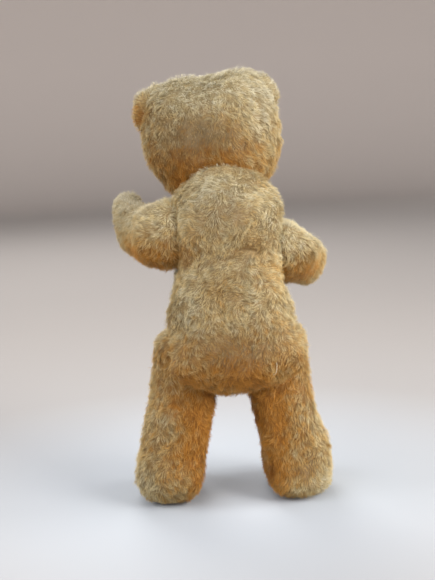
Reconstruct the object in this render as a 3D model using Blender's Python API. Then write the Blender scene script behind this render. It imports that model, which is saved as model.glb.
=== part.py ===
"""A threadbare teddy bear with five disc joints, standing on its own felt feet.

The bear faces -Y, with its own left at +X, and the floor is at Z = 0. The origin is on the floor, under the
middle of the bear's box. Lengths are given in millimetres and turned into metres where a mesh is made.
"""

import math

import bmesh
import bpy
from mathutils import Matrix, Vector
from mathutils.bvhtree import BVHTree

MM = 0.001
COLLECTION = "threadbare_teddy_bear"

# Cloth, card and metal
SKIN = 2.0
GAP = 0.3
SEAT_INSET = SKIN + GAP
STUFFING_INSET = SKIN + 1.6
CARD = 2.2
WASHER = 0.8
WASHER_RADIUS = 6.0
HOLE_RADIUS = 2.1
WIRE_RADIUS = 0.75
WIRE_SPREAD = 0.9
PIN_EYE_RADIUS = 2.5
PIN_CURL_RADIUS = 2.3
PIN_TAIL_DROP = 1.8
PIN_CLEARANCE = 0.4
FELT = 2.0
PATCH_LIFT = 1.0
PATCH_THICKNESS = 1.2
CUTTER_OVERRUN = 1.5
OUTSIDE = 120.0

# Where the bear stands, and its joints: the middle of each joint's meeting faces
SET_BACK = 35.0
HIP = Vector((16.5, -6.0, 116.0))
LEFT_SHOULDER = Vector((36.0, -4.0, 209.0))
RIGHT_SHOULDER = Vector((-36.0, -4.0, 197.0))
NECK = Vector((0.0, -12.0, 242.0))
NECK_TILT = math.radians(30)
LEFT_ARM_LIFT = math.radians(2)
RIGHT_ARM_LIFT = math.radians(-12)
HEAD_ROLL = math.radians(5)
HEAD_LEAN = 3.0

# Hardboard discs
NECK_DISC = 13.0
SHOULDER_DISC = 12.0
HIP_DISC = 17.0
RECESS_DEPTH = 13.5
HIP_RECESS_DEPTH = 10.8
RECESS_CLEARANCE = 0.8

# Torso: height, half width, depth to the back, depth to the belly
TORSO_LOW = 84.0
TORSO_HIGH = 264.0
TORSO_ROWS = [
    (84, 46, 44, 36),
    (118, 47.5, 46, 41),
    (150, 44, 41, 47),
    (178, 39.5, 37, 47),
    (210, 38.5, 36, 41),
    (240, 38.5, 35, 34),
    (264, 37, 33, 28),
]
BOTTOM_ROUNDING = 7
TOP_ROUNDING = 5
TORSO_SQUARENESS = 0.75
# Flat seat for the head and each arm: radius of the flat, how far the cut reaches, slope beyond the flat
SEATS = {"neck": (29.0, 36.0, 0.33), "shoulder": (26.0, 12.0, 0.4)}
THIGH_POCKET = 29.5
POCKET_REACH = 90.0
POCKET_DEPTH = 60.0

# Head, about the middle of the skull
SKULL_RISE = 45.5
SKULL_HALF = Vector((50.5, 44.0, 49.5))
SKULL_SQUARENESS = 0.9
SKULL_ROUNDING = 2.4
RING_GATHER = 0.22
MUZZLE_REACH = 22.0
MUZZLE_DROP = 12.0
MUZZLE_WIDTH = 22.0
MUZZLE_HEIGHT = 18.0
MUZZLE_BLUNTNESS = 4

# Ears: a cupped round of doubled plush
EAR_RADIUS = 17.5
EAR_THICKNESS = 7.0
EAR_CUP = 6.0
EAR_TURN = math.radians(14)
# For each ear: its side, how far out from the middle of the skull, and how far up from level
EARS = {
    "ear_left": (1, 44.5, math.radians(30)),
    "ear_right": (-1, 43.0, math.radians(36)),
}

# Arm, about the shoulder, with the paw forward: reach, inner side, outer side, middle height, half height
ARM_REACH = 112.0
ARM_CAP = 22.0
ARM_ROWS = [
    (-22, -4, 32, 0, 22),
    (0, -4, 33, 0, 22),
    (20, -3, 36, -1, 21),
    (35, 4, 40, -2, 20),
    (50, 14.5, 44.5, -2, 19.5),
    (65, 21.5, 47.5, -1, 18.5),
    (80, 25, 49, 1, 18),
    (95, 26, 49.5, 4, 17),
    (112, 26, 49, 9, 15.5),
]
PAW_ROUND = 15.0
CAP_FLATNESS = 6
PAW_PAD_AT = Vector((37.5, -92.0, 0.0))
PAW_PAD_LOOK = Vector((0.0, 0.25, 1.0))
PAW_PAD_HALF = (10.0, 15.0)
ARM_SQUARENESS = 0.62
ARM_FLAT_RADIUS = 22.0
ARM_FLARE = 0.44
ARM_FLARE_MOST = 8.0
FLARE_BLEND = 4.0

# Leg, about the hip: height, inner side, outer side, depth to the toe, depth to the heel
THIGH_RADIUS = 26.0
LEG_ROWS = [
    (-117, 12.5, 59, 60, 22),
    (-100, 11, 59.5, 62, 24),
    (-84, 9.5, 57.5, 48, 24),
    (-68, 7, 54, 29, 24),
    (-50, 3.5, 49.5, 26, 25),
    (-30, -1.5, 45, 27, 26),
    (0, -3, 41, 26, 26),
    (26, -3, 40, 26, 26),
]
FLAT_SIDE = 0.45
OUTER_SQUARENESS = 0.9
SOLE_ROUND = 11.0
SOLE_LEVEL = FELT + GAP
THIGH_FLATNESS = 8
FOOT_PAD_AT = (37.0, -20.5)
FOOT_PAD_HALF = (16.5, 33.0)
FOOT_PAD_TAPER = 0.12
FELT_EDGE = 0.4

# Face
EYE_RADIUS = 5.2
EYE_SPREAD = 20.0
EYE_RISE = 10.0
EYE_LIFT = 0.6
EYE_FLATNESS = 0.8
NOSE_HALF = (8.5, 5.0)
NOSE_FLARE = 0.25
NOSE_DROP = 4.0
THREAD_RADIUS = 0.6
MOUTH_HALF = 11.0
MOUTH_DROP = 19.0
MOUTH_CURL = 3.5
MOUTH_LIFT = 1.8
MOUTH_POINTS = 11

OUTER_CELLS = {"torso": (24, 20), "head": (24, 22), "arm": (16, 14), "leg": (16, 16)}
STUFFING_CELLS = {"torso": (20, 16), "head": (18, 14), "arm": (12, 12), "leg": (16, 16)}

COLOURS = {
    "mohair": ((0.62, 0.42, 0.17), 0.95, 0.0),
    "stuffing": ((0.72, 0.62, 0.42), 1.0, 0.0),
    "felt": ((0.58, 0.42, 0.24), 0.95, 0.0),
    "hardboard": ((0.33, 0.2, 0.1), 0.8, 0.0),
    "steel": ((0.5, 0.5, 0.5), 0.45, 1.0),
    "glass": ((0.08, 0.03, 0.01), 0.1, 0.0),
    "thread": ((0.02, 0.015, 0.012), 0.8, 0.0),
}


# ---------------------------------------------------------------- scene


def clear_scene():
    for item in list(bpy.data.objects):
        bpy.data.objects.remove(item, do_unlink=True)


def new_collection(name):
    collection = bpy.data.collections.new(name)
    bpy.context.scene.collection.children.link(collection)
    return collection


def material_of(name, finish):
    """Each piece's own material, in one of the finishes."""
    colour, roughness, metallic = COLOURS[finish]
    material = bpy.data.materials.new(name)
    material.use_nodes = True
    shader = material.node_tree.nodes["Principled BSDF"]
    shader.inputs["Base Color"].default_value = (*colour, 1.0)
    shader.inputs["Roughness"].default_value = roughness
    shader.inputs["Metallic"].default_value = metallic
    material.diffuse_color = (*colour, 1.0)
    return material


def add_empty(name, place, turn, parts):
    empty = bpy.data.objects.new(name, None)
    empty.empty_display_size = 0.02
    empty.matrix_world = Matrix.Translation(place * MM) @ turn.to_4x4()
    parts.objects.link(empty)
    return empty


def add_piece(name, mesh, finish, collection, parent):
    piece = bpy.data.objects.new(name, mesh)
    piece.data.materials.append(material_of(name, finish))
    piece.parent = parent
    collection.objects.link(piece)
    return piece


def add_cutter(name, mesh, collection, parent):
    cutter = bpy.data.objects.new(name, mesh)
    cutter.parent = parent
    cutter.hide_render = True
    cutter.display_type = "WIRE"
    collection.objects.link(cutter)
    return cutter


def cut(piece, cutter, crossing=False):
    """Takes the cutter out of the piece; crossing is for a cutter whose own bodies meet each other."""
    boolean = piece.modifiers.new(cutter.name, "BOOLEAN")
    boolean.operation = "DIFFERENCE"
    boolean.solver = "EXACT"
    boolean.use_self = crossing
    boolean.object = cutter


# ---------------------------------------------------------------- mesh helpers


def mesh_of(bm, name, smooth=True):
    """The bmesh, in millimetres, as a mesh in metres."""
    bmesh.ops.scale(bm, vec=(MM, MM, MM), verts=bm.verts)
    bmesh.ops.triangulate(bm, faces=[f for f in bm.faces if len(f.verts) == 4])
    bmesh.ops.recalc_face_normals(bm, faces=bm.faces)
    mesh = bpy.data.meshes.new(name)
    bm.to_mesh(mesh)
    bm.free()
    if smooth:
        mesh.shade_smooth()
        mesh.set_sharp_from_angle(angle=math.radians(50))
    return mesh


def row_slope(rows, i, column):
    low = rows[max(i - 1, 0)]
    high = rows[min(i + 1, len(rows) - 1)]
    return (high[column] - low[column]) / (high[0] - low[0])


def value_at(rows, place, column):
    """A smooth curve through one column of the rows, read at a place along the first column."""
    place = min(max(place, rows[0][0]), rows[-1][0])
    i = max(k for k in range(len(rows) - 1) if rows[k][0] <= place)
    a, b = rows[i], rows[i + 1]
    step = b[0] - a[0]
    t = (place - a[0]) / step
    rise_a = row_slope(rows, i, column) * step
    rise_b = row_slope(rows, i + 1, column) * step
    return (
        (2 * t**3 - 3 * t**2 + 1) * a[column]
        + (t**3 - 2 * t**2 + t) * rise_a
        + (3 * t**2 - 2 * t**3) * b[column]
        + (t**3 - t**2) * rise_b
    )


def around(unit, squareness):
    """The direction of a point of the unit ball about its Z axis, pressed towards a square."""
    flat = math.hypot(unit.x, unit.y)
    if flat < 1e-6:
        return 0.0, 0.0
    c, s = unit.x / flat, unit.y / flat
    return (
        math.copysign(abs(c) ** squareness, c),
        math.copysign(abs(s) ** squareness, s),
    )


def greater_of(a, b, blend):
    """The greater of two numbers, with a rounded change from one to the other."""
    share = min(max(0.5 + 0.5 * (a - b) / max(blend, GAP), 0), 1)
    return b + (a - b) * share + blend * share * (1 - share)


def shaped_ball(form, inset, cells):
    """A ball whose points a form function moves to their places on a soft body."""
    bm = bmesh.new()
    bmesh.ops.create_uvsphere(bm, u_segments=cells[0], v_segments=cells[1], radius=1.0)
    for vert in bm.verts:
        vert.co = form(vert.co.copy(), inset)
    bmesh.ops.recalc_face_normals(bm, faces=bm.faces)
    return bm


def slice_flat(bm, point, outward):
    """Cuts away what lies beyond a plane and closes the opening with one flat face."""
    found = bmesh.ops.bisect_plane(
        bm,
        geom=bm.verts[:] + bm.edges[:] + bm.faces[:],
        dist=0.001,
        plane_co=point,
        plane_no=outward,
        clear_outer=True,
    )
    rim = [e for e in found["geom_cut"] if isinstance(e, bmesh.types.BMEdge)]
    bmesh.ops.contextual_create(bm, geom=rim)


def add_cylinder(bm, radius, start, end, sides, radius_end=None):
    """A cylinder or cone along Z, between two places on it."""
    bmesh.ops.create_cone(
        bm,
        cap_ends=True,
        segments=sides,
        radius1=radius,
        radius2=radius if radius_end is None else radius_end,
        depth=end - start,
        matrix=Matrix.Translation((0, 0, (start + end) / 2)),
    )


# ---------------------------------------------------------------- soft forms


def torso_form(unit, inset):
    low, high = TORSO_LOW + inset, TORSO_HIGH - inset
    height = low + (high - low) * (unit.z + 1) / 2
    rounding = TOP_ROUNDING if unit.z > 0 else BOTTOM_ROUNDING
    fullness = math.sqrt(max(1 - abs(unit.z) ** rounding, 0))
    c, s = around(unit, TORSO_SQUARENESS)
    half_width = value_at(TORSO_ROWS, height, 1) - inset
    depth = value_at(TORSO_ROWS, height, 2 if s > 0 else 3) - inset
    return Vector((c * half_width * fullness, s * depth * fullness, height))


def skull_middle():
    """From the neck joint to the middle of the skull, a little to the bear's left."""
    up = Vector((0, -math.sin(NECK_TILT), math.cos(NECK_TILT)))
    return up * SKULL_RISE + Vector((HEAD_LEAN, 0, 0))


def head_form(unit, inset):
    """The head about the neck joint; the ball's poles lie at the nose and the nape."""
    from_nose = math.acos(max(min(unit.z, 1), -1))
    from_nose -= RING_GATHER * math.sin(2 * from_nose)
    spoke = math.atan2(unit.y, unit.x)
    ring = math.sin(from_nose)
    facing = Vector((ring * math.cos(spoke), -math.cos(from_nose), ring * math.sin(spoke)))
    c, s = around(facing, SKULL_SQUARENESS)
    level = math.sqrt(max(1 - abs(facing.z) ** SKULL_ROUNDING, 0))
    half = SKULL_HALF - Vector((inset, inset, inset))
    point = Vector((c * level * half.x, s * level * half.y, facing.z * half.z))
    if point.y < 0:
        across = point.x / (MUZZLE_WIDTH - inset)
        up = (point.z + MUZZLE_DROP) / (MUZZLE_HEIGHT - inset)
        point.y -= MUZZLE_REACH * math.exp(-(math.hypot(across, up) ** MUZZLE_BLUNTNESS))
    return Matrix.Rotation(HEAD_ROLL, 3, "Y") @ point + skull_middle()


def arm_form(unit, inset):
    """A left arm about its shoulder: +X outward, the paw towards -Y and curled up a little."""
    back, front = -ARM_CAP + inset, ARM_REACH - inset
    reach = back + (front - back) * (1 - unit.z) / 2
    if reach < 0:
        high = math.sqrt(max(1 - (reach / back) ** 2, 0))
        wide = math.sqrt(max(1 - abs(reach / back) ** CAP_FLATNESS, 0))
    else:
        to_tip = min((front - reach) / (PAW_ROUND - inset), 1)
        high = wide = math.sqrt(max(1 - (1 - to_tip) ** 2, 0))
    c, s = around(unit, ARM_SQUARENESS if unit.x < 0 else OUTER_SQUARENESS)
    inner = value_at(ARM_ROWS, reach, 1) + inset
    outer = value_at(ARM_ROWS, reach, 2) - inset
    middle = value_at(ARM_ROWS, reach, 3)
    half_height = value_at(ARM_ROWS, reach, 4) - inset
    x = (inner + outer) / 2 + c * wide * (outer - inner) / 2
    z = middle + s * high * half_height
    flare = min((math.hypot(reach, z) - ARM_FLAT_RADIUS) * ARM_FLARE, ARM_FLARE_MOST)
    if c < 0 and reach > 0:
        x = greater_of(x, flare + inset, FLARE_BLEND * -c)
    return Vector((x, -reach, z))


def leg_form(unit, inset):
    """A left leg about its hip: +X outward, with the foot towards -Y."""
    low = SOLE_LEVEL - HIP.z - CUTTER_OVERRUN + inset
    top = THIGH_RADIUS - inset
    height = low + (top - low) * (unit.z + 1) / 2
    c, s = around(unit, FLAT_SIDE if unit.x < 0 else OUTER_SQUARENESS)
    inner = value_at(LEG_ROWS, height, 1) + inset
    outer = value_at(LEG_ROWS, height, 2) - inset
    front = value_at(LEG_ROWS, height, 3) - inset
    back = value_at(LEG_ROWS, height, 4) - inset
    if height > 0:
        deep = math.sqrt(max(1 - (height / top) ** 2, 0))
        wide = math.sqrt(max(1 - (height / top) ** THIGH_FLATNESS, 0))
        half_width = wide * (outer - inner) / 2
        front, back = front * deep, back * deep
    else:
        to_sole = min((height - low) / SOLE_ROUND, 1)
        pulled_in = SOLE_ROUND * (1 - math.sqrt(max(1 - (1 - to_sole) ** 2, 0)))
        half_width = (outer - inner) / 2 - pulled_in
        front, back = front - pulled_in, back - pulled_in
    x = (inner + outer) / 2 + c * half_width
    return Vector((x, s * (back if s > 0 else front), height))


def torso_ball(inset, cells):
    return shaped_ball(torso_form, inset, cells)


def head_ball(inset, cells):
    bm = shaped_ball(head_form, inset, cells)
    neck = Vector((0, -math.sin(NECK_TILT), math.cos(NECK_TILT)))
    slice_flat(bm, neck * (GAP / 2 + inset), -neck)
    return bm


def arm_ball(inset, cells):
    bm = shaped_ball(arm_form, inset, cells)
    slice_flat(bm, Vector((GAP / 2 + inset, 0, 0)), Vector((-1, 0, 0)))
    return bm


def leg_ball(inset, cells):
    bm = shaped_ball(leg_form, inset, cells)
    slice_flat(bm, Vector((GAP / 2 + inset, 0, 0)), Vector((-1, 0, 0)))
    slice_flat(bm, Vector((0, 0, SOLE_LEVEL - HIP.z + inset)), Vector((0, 0, -1)))
    return bm


BALLS = {"torso": torso_ball, "head": head_ball, "arm": arm_ball, "leg": leg_ball}


def body_mesh(kind, name, inset, cells, side):
    """A closed soft body, inset from the cover's outer face, mirrored for the right side."""
    bm = BALLS[kind](inset, cells)
    if side < 0:
        bmesh.ops.scale(bm, vec=(-1, 1, 1), verts=bm.verts)
        bmesh.ops.reverse_faces(bm, faces=bm.faces)
    return mesh_of(bm, name)


# ---------------------------------------------------------------- joints


def joint_frames():
    """Each joint's place and the turn that takes local Z outward along its axis, from the torso."""
    neck = Matrix.Rotation(NECK_TILT, 3, "X")
    out_left = Matrix.Rotation(math.pi / 2, 3, "Y")
    out_right = Matrix.Rotation(-math.pi / 2, 3, "Y")
    stand = Vector((0, SET_BACK, 0))
    right_hip = HIP * Vector((-1, 1, 1))
    return {
        "neck": (NECK + stand, neck, NECK_DISC),
        "left_shoulder": (LEFT_SHOULDER + stand, out_left, SHOULDER_DISC),
        "right_shoulder": (RIGHT_SHOULDER + stand, out_right, SHOULDER_DISC),
        "left_hip": (HIP + stand, out_left, HIP_DISC),
        "right_hip": (right_hip + stand, out_right, HIP_DISC),
    }


def disc_mesh(name, radius, thickness, start, sides):
    """A flat ring, turned about Z, with the pin's hole through it."""
    bm = bmesh.new()
    end = start + thickness
    corners = [(HOLE_RADIUS, start), (radius, start), (radius, end), (HOLE_RADIUS, end)]
    verts = [bm.verts.new((out, 0, along)) for out, along in corners]
    edges = [bm.edges.new((verts[i], verts[(i + 1) % 4])) for i in range(4)]
    bmesh.ops.spin(
        bm,
        geom=edges + verts,
        cent=(0, 0, 0),
        axis=(0, 0, 1),
        angle=2 * math.pi,
        steps=sides,
        use_merge=True,
    )
    return mesh_of(bm, name, smooth=False)


def pin_points(washer_face):
    """A split pin's folded wire: one curled tail, up the shaft, round the eye, down and the other tail."""
    side = []
    for step in range(5):
        turn = math.radians(-180 + 40 * step)
        across = WIRE_SPREAD + PIN_CURL_RADIUS * (1 + math.cos(turn))
        along = -washer_face - PIN_TAIL_DROP + PIN_CURL_RADIUS * math.sin(turn)
        side.append((across, along))
    side.reverse()
    side.append((WIRE_SPREAD, washer_face + PIN_CLEARANCE))
    eye = washer_face + PIN_CLEARANCE + PIN_EYE_RADIUS
    for step in range(4):
        turn = math.radians(-50 + 40 * step)
        side.append((PIN_EYE_RADIUS * math.cos(turn), eye + PIN_EYE_RADIUS * math.sin(turn)))
    other = [(-across, along) for across, along in reversed(side)]
    return [Vector((across, 0, along)) * MM for across, along in side + other]


def add_pin(name, washer_face, parts, parent):
    curve = bpy.data.curves.new(name, "CURVE")
    curve.dimensions = "3D"
    curve.bevel_depth = WIRE_RADIUS * MM
    curve.bevel_resolution = 1
    curve.use_fill_caps = True
    points = pin_points(washer_face)
    spline = curve.splines.new("POLY")
    spline.points.add(len(points) - 1)
    for point, place in zip(spline.points, points):
        point.co = (*place, 1.0)
    add_piece(name, curve, "steel", parts, parent)


def add_joint(name, limb, disc_radius, empty, parts):
    """Two hardboard discs, two washers and the split pin, about the joint's own frame."""
    disc_in = GAP / 2 + SKIN + GAP
    washer_in = disc_in + CARD + GAP
    face = washer_in + WASHER + GAP
    for where, sign in (("torso", -1), (limb, 1)):
        disc_start = disc_in if sign > 0 else -disc_in - CARD
        washer_start = washer_in if sign > 0 else -washer_in - WASHER
        disc = f"{name}_disc_in_{where}"
        washer = f"{name}_washer_in_{where}"
        add_piece(disc, disc_mesh(disc, disc_radius, CARD, disc_start, 24), "hardboard", parts, empty)
        add_piece(washer, disc_mesh(washer, WASHER_RADIUS, WASHER, washer_start, 16), "steel", parts, empty)
    add_pin(f"{name}_split_pin", face, parts, empty)


def pin_hole(name, empty, cutters):
    bm = bmesh.new()
    add_cylinder(bm, HOLE_RADIUS, -SKIN - CUTTER_OVERRUN, SKIN + CUTTER_OVERRUN, 16)
    return add_cutter(name, mesh_of(bm, name, smooth=False), cutters, empty)


def recess(name, disc_radius, depth, sign, empty, cutters):
    """The room in the stuffing for a disc, its washer and the end of the pin."""
    bm = bmesh.new()
    start, end = (-depth, -SKIN) if sign < 0 else (SKIN, depth)
    add_cylinder(bm, disc_radius + RECESS_CLEARANCE, start, end, 24)
    return add_cutter(name, mesh_of(bm, name, smooth=False), cutters, empty)


# ---------------------------------------------------------------- torso


def seat_cutter(name, frames, inset, cutters):
    """What the torso leaves free for the head, the arms' tops and the thighs, grown by the inset."""
    bm = bmesh.new()
    for joint, (place, turn, _) in frames.items():
        part = bmesh.new()
        if joint.endswith("hip"):
            add_thigh_room(part, inset)
            side = 1 if joint.startswith("left") else -1
            bmesh.ops.scale(part, vec=(side, 1, 1), verts=part.verts)
            bmesh.ops.translate(part, vec=place, verts=part.verts)
        else:
            radius, rise, slope = SEATS["neck" if joint == "neck" else "shoulder"]
            start = -GAP / 2 - inset
            add_cylinder(part, radius + inset, start, start + rise, 32, radius + inset + rise / slope)
            bmesh.ops.transform(part, matrix=turn.to_4x4(), verts=part.verts)
            bmesh.ops.translate(part, vec=place, verts=part.verts)
        bmesh.ops.recalc_face_normals(part, faces=part.faces)
        held = bpy.data.meshes.new("part")
        part.to_mesh(held)
        part.free()
        bm.from_mesh(held)
        bpy.data.meshes.remove(held)
    return add_cutter(name, mesh_of(bm, name, smooth=False), cutters, None)


def add_thigh_room(bm, inset):
    """The space that a thigh turns in: below and in front of the hip, with a round back upper corner."""
    radius = THIGH_POCKET + inset
    outline = [(-POCKET_REACH, -POCKET_DEPTH), (radius, -POCKET_DEPTH)]
    for step in range(7):
        turn = math.radians(15 * step)
        outline.append((radius * math.cos(turn), radius * math.sin(turn)))
    outline.append((-POCKET_REACH, radius))
    start = -GAP / 2 - inset
    verts = [bm.verts.new((start, y, z)) for y, z in outline]
    face = bm.faces.new(verts)
    grown = bmesh.ops.extrude_face_region(bm, geom=[face])
    moved = [v for v in grown["geom"] if isinstance(v, bmesh.types.BMVert)]
    bmesh.ops.translate(bm, vec=(POCKET_DEPTH - start, 0, 0), verts=moved)


def add_torso(frames, empties, parts, cutters):
    stand = add_empty("torso_frame", Vector((0, SET_BACK, 0)), Matrix.Identity(3), parts)
    skin = add_piece(
        "torso_skin", body_mesh("torso", "torso_skin", 0, OUTER_CELLS["torso"], 1), "mohair", parts, stand
    )
    inner = add_cutter(
        "torso_inside", body_mesh("torso", "torso_inside", SKIN, OUTER_CELLS["torso"], 1), cutters, stand
    )
    stuffing = add_piece(
        "torso_stuffing",
        body_mesh("torso", "torso_stuffing", STUFFING_INSET, STUFFING_CELLS["torso"], 1),
        "stuffing",
        parts,
        stand,
    )
    cut(skin, seat_cutter("torso_seats", frames, 0, cutters), crossing=True)
    cut(inner, seat_cutter("torso_seats_inside", frames, SKIN, cutters), crossing=True)
    cut(stuffing, seat_cutter("torso_seats_stuffing", frames, SEAT_INSET, cutters), crossing=True)
    cut(skin, inner)
    for joint, (_, _, disc) in frames.items():
        cut(skin, pin_hole(f"{joint}_hole_in_torso", empties[joint], cutters))
        depth = HIP_RECESS_DEPTH if joint.endswith("hip") else RECESS_DEPTH
        cut(stuffing, recess(f"{joint}_recess_in_torso", disc, depth, -1, empties[joint], cutters))


# ---------------------------------------------------------------- head and limbs


def add_soft_limb(kind, name, side, joint, disc, turn, empty, parts, cutters):
    """A cover with its stuffing, both about the joint, opened for the pin."""
    cover = body_mesh(kind, f"{name}_skin", 0, OUTER_CELLS[kind], side)
    skin = add_piece(f"{name}_skin", cover, "mohair", parts, turn)
    lining = body_mesh(kind, f"{name}_inside", SKIN, OUTER_CELLS[kind], side)
    filling = body_mesh(kind, f"{name}_stuffing", STUFFING_INSET, STUFFING_CELLS[kind], side)
    stuffing = add_piece(f"{name}_stuffing", filling, "stuffing", parts, turn)
    cut(skin, add_cutter(f"{name}_inside", lining, cutters, turn))
    cut(skin, pin_hole(f"{joint}_hole_in_{name}", empty, cutters))
    cut(stuffing, recess(f"{joint}_recess_in_{name}", disc, RECESS_DEPTH, 1, empty, cutters))
    return skin


def draped_patch(surface, middle, look, outline, name):
    """A thin patch laid on a surface: rings of points dropped on it along a direction, then thickened."""
    tree = BVHTree.FromBMesh(surface)
    look = look.normalized()
    across = look.cross(Vector((0, 0, 1)) if abs(look.z) < 0.9 else Vector((0, 1, 0))).normalized()
    upward = across.cross(look).normalized()
    bm = bmesh.new()
    bmesh.ops.create_circle(bm, cap_ends=True, cap_tris=True, segments=20, radius=1.0)
    spokes = [e for e in bm.edges if not e.is_boundary]
    bmesh.ops.subdivide_edges(bm, edges=spokes, cuts=2, use_grid_fill=True)
    grown = bmesh.ops.extrude_face_region(bm, geom=bm.faces[:])
    raised = [v for v in grown["geom"] if isinstance(v, bmesh.types.BMVert)]
    bmesh.ops.translate(bm, vec=(0, 0, 1), verts=raised)
    for vert in bm.verts:
        x, y = outline(vert.co.x, vert.co.y)
        start = middle + across * x + upward * y - look * OUTSIDE
        hit, normal, _, _ = tree.ray_cast(start, look)
        vert.co = hit + normal * (PATCH_LIFT + PATCH_THICKNESS * vert.co.z)
    return mesh_of(bm, name)


def skull_cutter(turn, cutters):
    """The head's own shape, grown by the gap, which the ears and eyes are fitted to."""
    room = shaped_ball(head_form, -GAP, OUTER_CELLS["head"])
    return add_cutter("skull", mesh_of(room, "skull"), cutters, turn)


def add_ears(skull, turn, parts):
    """Two cupped half rounds against the upper corners of the skull."""
    roll = Matrix.Rotation(HEAD_ROLL, 3, "Y")
    for name, (side, far, angle) in EARS.items():
        bm = bmesh.new()
        bmesh.ops.create_uvsphere(bm, u_segments=20, v_segments=10, radius=1.0)
        for vert in bm.verts:
            flat = math.hypot(vert.co.x, vert.co.y)
            depth = EAR_THICKNESS / 2 * vert.co.z - EAR_CUP * flat**2
            vert.co = Vector((vert.co.x * EAR_RADIUS, depth, vert.co.y * EAR_RADIUS))
        out = Vector((side * math.cos(angle), 0, math.sin(angle))) * far
        place = roll @ out + skull_middle()
        spin = roll @ Matrix.Rotation(side * EAR_TURN, 3, "Z")
        bmesh.ops.transform(bm, matrix=Matrix.Translation(place) @ spin.to_4x4(), verts=bm.verts)
        ear = add_piece(name, mesh_of(bm, name), "mohair", parts, turn)
        cut(ear, skull)


def add_face(skull, turn, parts):
    surface = head_ball(0, OUTER_CELLS["head"])
    tree = BVHTree.FromBMesh(surface)
    roll = Matrix.Rotation(HEAD_ROLL, 3, "Y")
    back = roll @ Vector((0, 1, 0))
    for name, side in (("eye_left", 1), ("eye_right", -1)):
        start = roll @ Vector((side * EYE_SPREAD, -OUTSIDE, EYE_RISE)) + skull_middle()
        hit, normal, _, _ = tree.ray_cast(start, back)
        bm = bmesh.new()
        bmesh.ops.create_uvsphere(bm, u_segments=16, v_segments=10, radius=EYE_RADIUS)
        slice_flat(bm, Vector((0, 0, 0)), Vector((0, 0, -1)))
        bmesh.ops.scale(bm, vec=(1, 1, EYE_FLATNESS), verts=bm.verts)
        aim = Vector((0, 0, 1)).rotation_difference(normal).to_matrix().to_4x4()
        place = Matrix.Translation(hit + normal * EYE_LIFT)
        bmesh.ops.transform(bm, matrix=place @ aim, verts=bm.verts)
        cut(add_piece(name, mesh_of(bm, name), "glass", parts, turn), skull)
    nose_at = roll @ Vector((0, 0, -NOSE_DROP)) + skull_middle()
    nose = draped_patch(surface, nose_at, back, nose_outline, "nose_stitching")
    cut(add_piece("nose_stitching", nose, "thread", parts, turn), skull)
    add_mouth(tree, roll, back, turn, parts)
    surface.free()


def nose_outline(x, y):
    """An oval, wider at the top."""
    return NOSE_HALF[0] * x * (1 + NOSE_FLARE * y), NOSE_HALF[1] * y


def add_mouth(tree, roll, back, turn, parts):
    """One line of thread along the smile, as a tube just clear of the muzzle."""
    curve = bpy.data.curves.new("mouth_stitching", "CURVE")
    curve.dimensions = "3D"
    curve.bevel_depth = THREAD_RADIUS * MM
    curve.bevel_resolution = 1
    curve.use_fill_caps = True
    spline = curve.splines.new("POLY")
    spline.points.add(MOUTH_POINTS - 1)
    for i, point in enumerate(spline.points):
        swing = 2 * i / (MOUTH_POINTS - 1) - 1
        at = Vector((MOUTH_HALF * swing, -OUTSIDE, -MOUTH_DROP + MOUTH_CURL * swing**2))
        hit, normal, _, _ = tree.ray_cast(roll @ at + skull_middle(), back)
        point.co = (*((hit + normal * MOUTH_LIFT) * MM), 1.0)
    add_piece("mouth_stitching", curve, "thread", parts, turn)


def paw_pad_outline(x, y):
    return PAW_PAD_HALF[0] * x, PAW_PAD_HALF[1] * y


def add_paw_pad(name, side, turn, parts):
    surface = arm_ball(0, OUTER_CELLS["arm"])
    if side < 0:
        bmesh.ops.scale(surface, vec=(-1, 1, 1), verts=surface.verts)
        bmesh.ops.reverse_faces(surface, faces=surface.faces)
    middle = PAW_PAD_AT * Vector((side, 1, 1))
    pad = draped_patch(surface, middle, PAW_PAD_LOOK, paw_pad_outline, name)
    surface.free()
    add_piece(name, pad, "felt", parts, turn)


def add_foot_pad(name, side, turn, parts):
    """An oval of felt under the foot, its lower face on the floor."""
    bm = bmesh.new()
    bmesh.ops.create_cone(
        bm, cap_ends=True, segments=28, radius1=1.0, radius2=1.0, depth=FELT, matrix=Matrix.Identity(4)
    )
    for vert in bm.verts:
        width = FOOT_PAD_HALF[0] * (1 - FOOT_PAD_TAPER * vert.co.y)
        vert.co.x = side * FOOT_PAD_AT[0] + width * vert.co.x
        vert.co.y = FOOT_PAD_AT[1] + FOOT_PAD_HALF[1] * vert.co.y
        vert.co.z += FELT / 2 - HIP.z
    bmesh.ops.bevel(
        bm,
        geom=[e for e in bm.edges if abs(e.verts[0].co.z - e.verts[1].co.z) < 0.01],
        offset=FELT_EDGE,
        segments=1,
        profile=0.5,
        affect="EDGES",
        material=-1,
    )
    add_piece(name, mesh_of(bm, name, smooth=False), "felt", parts, turn)


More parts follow.
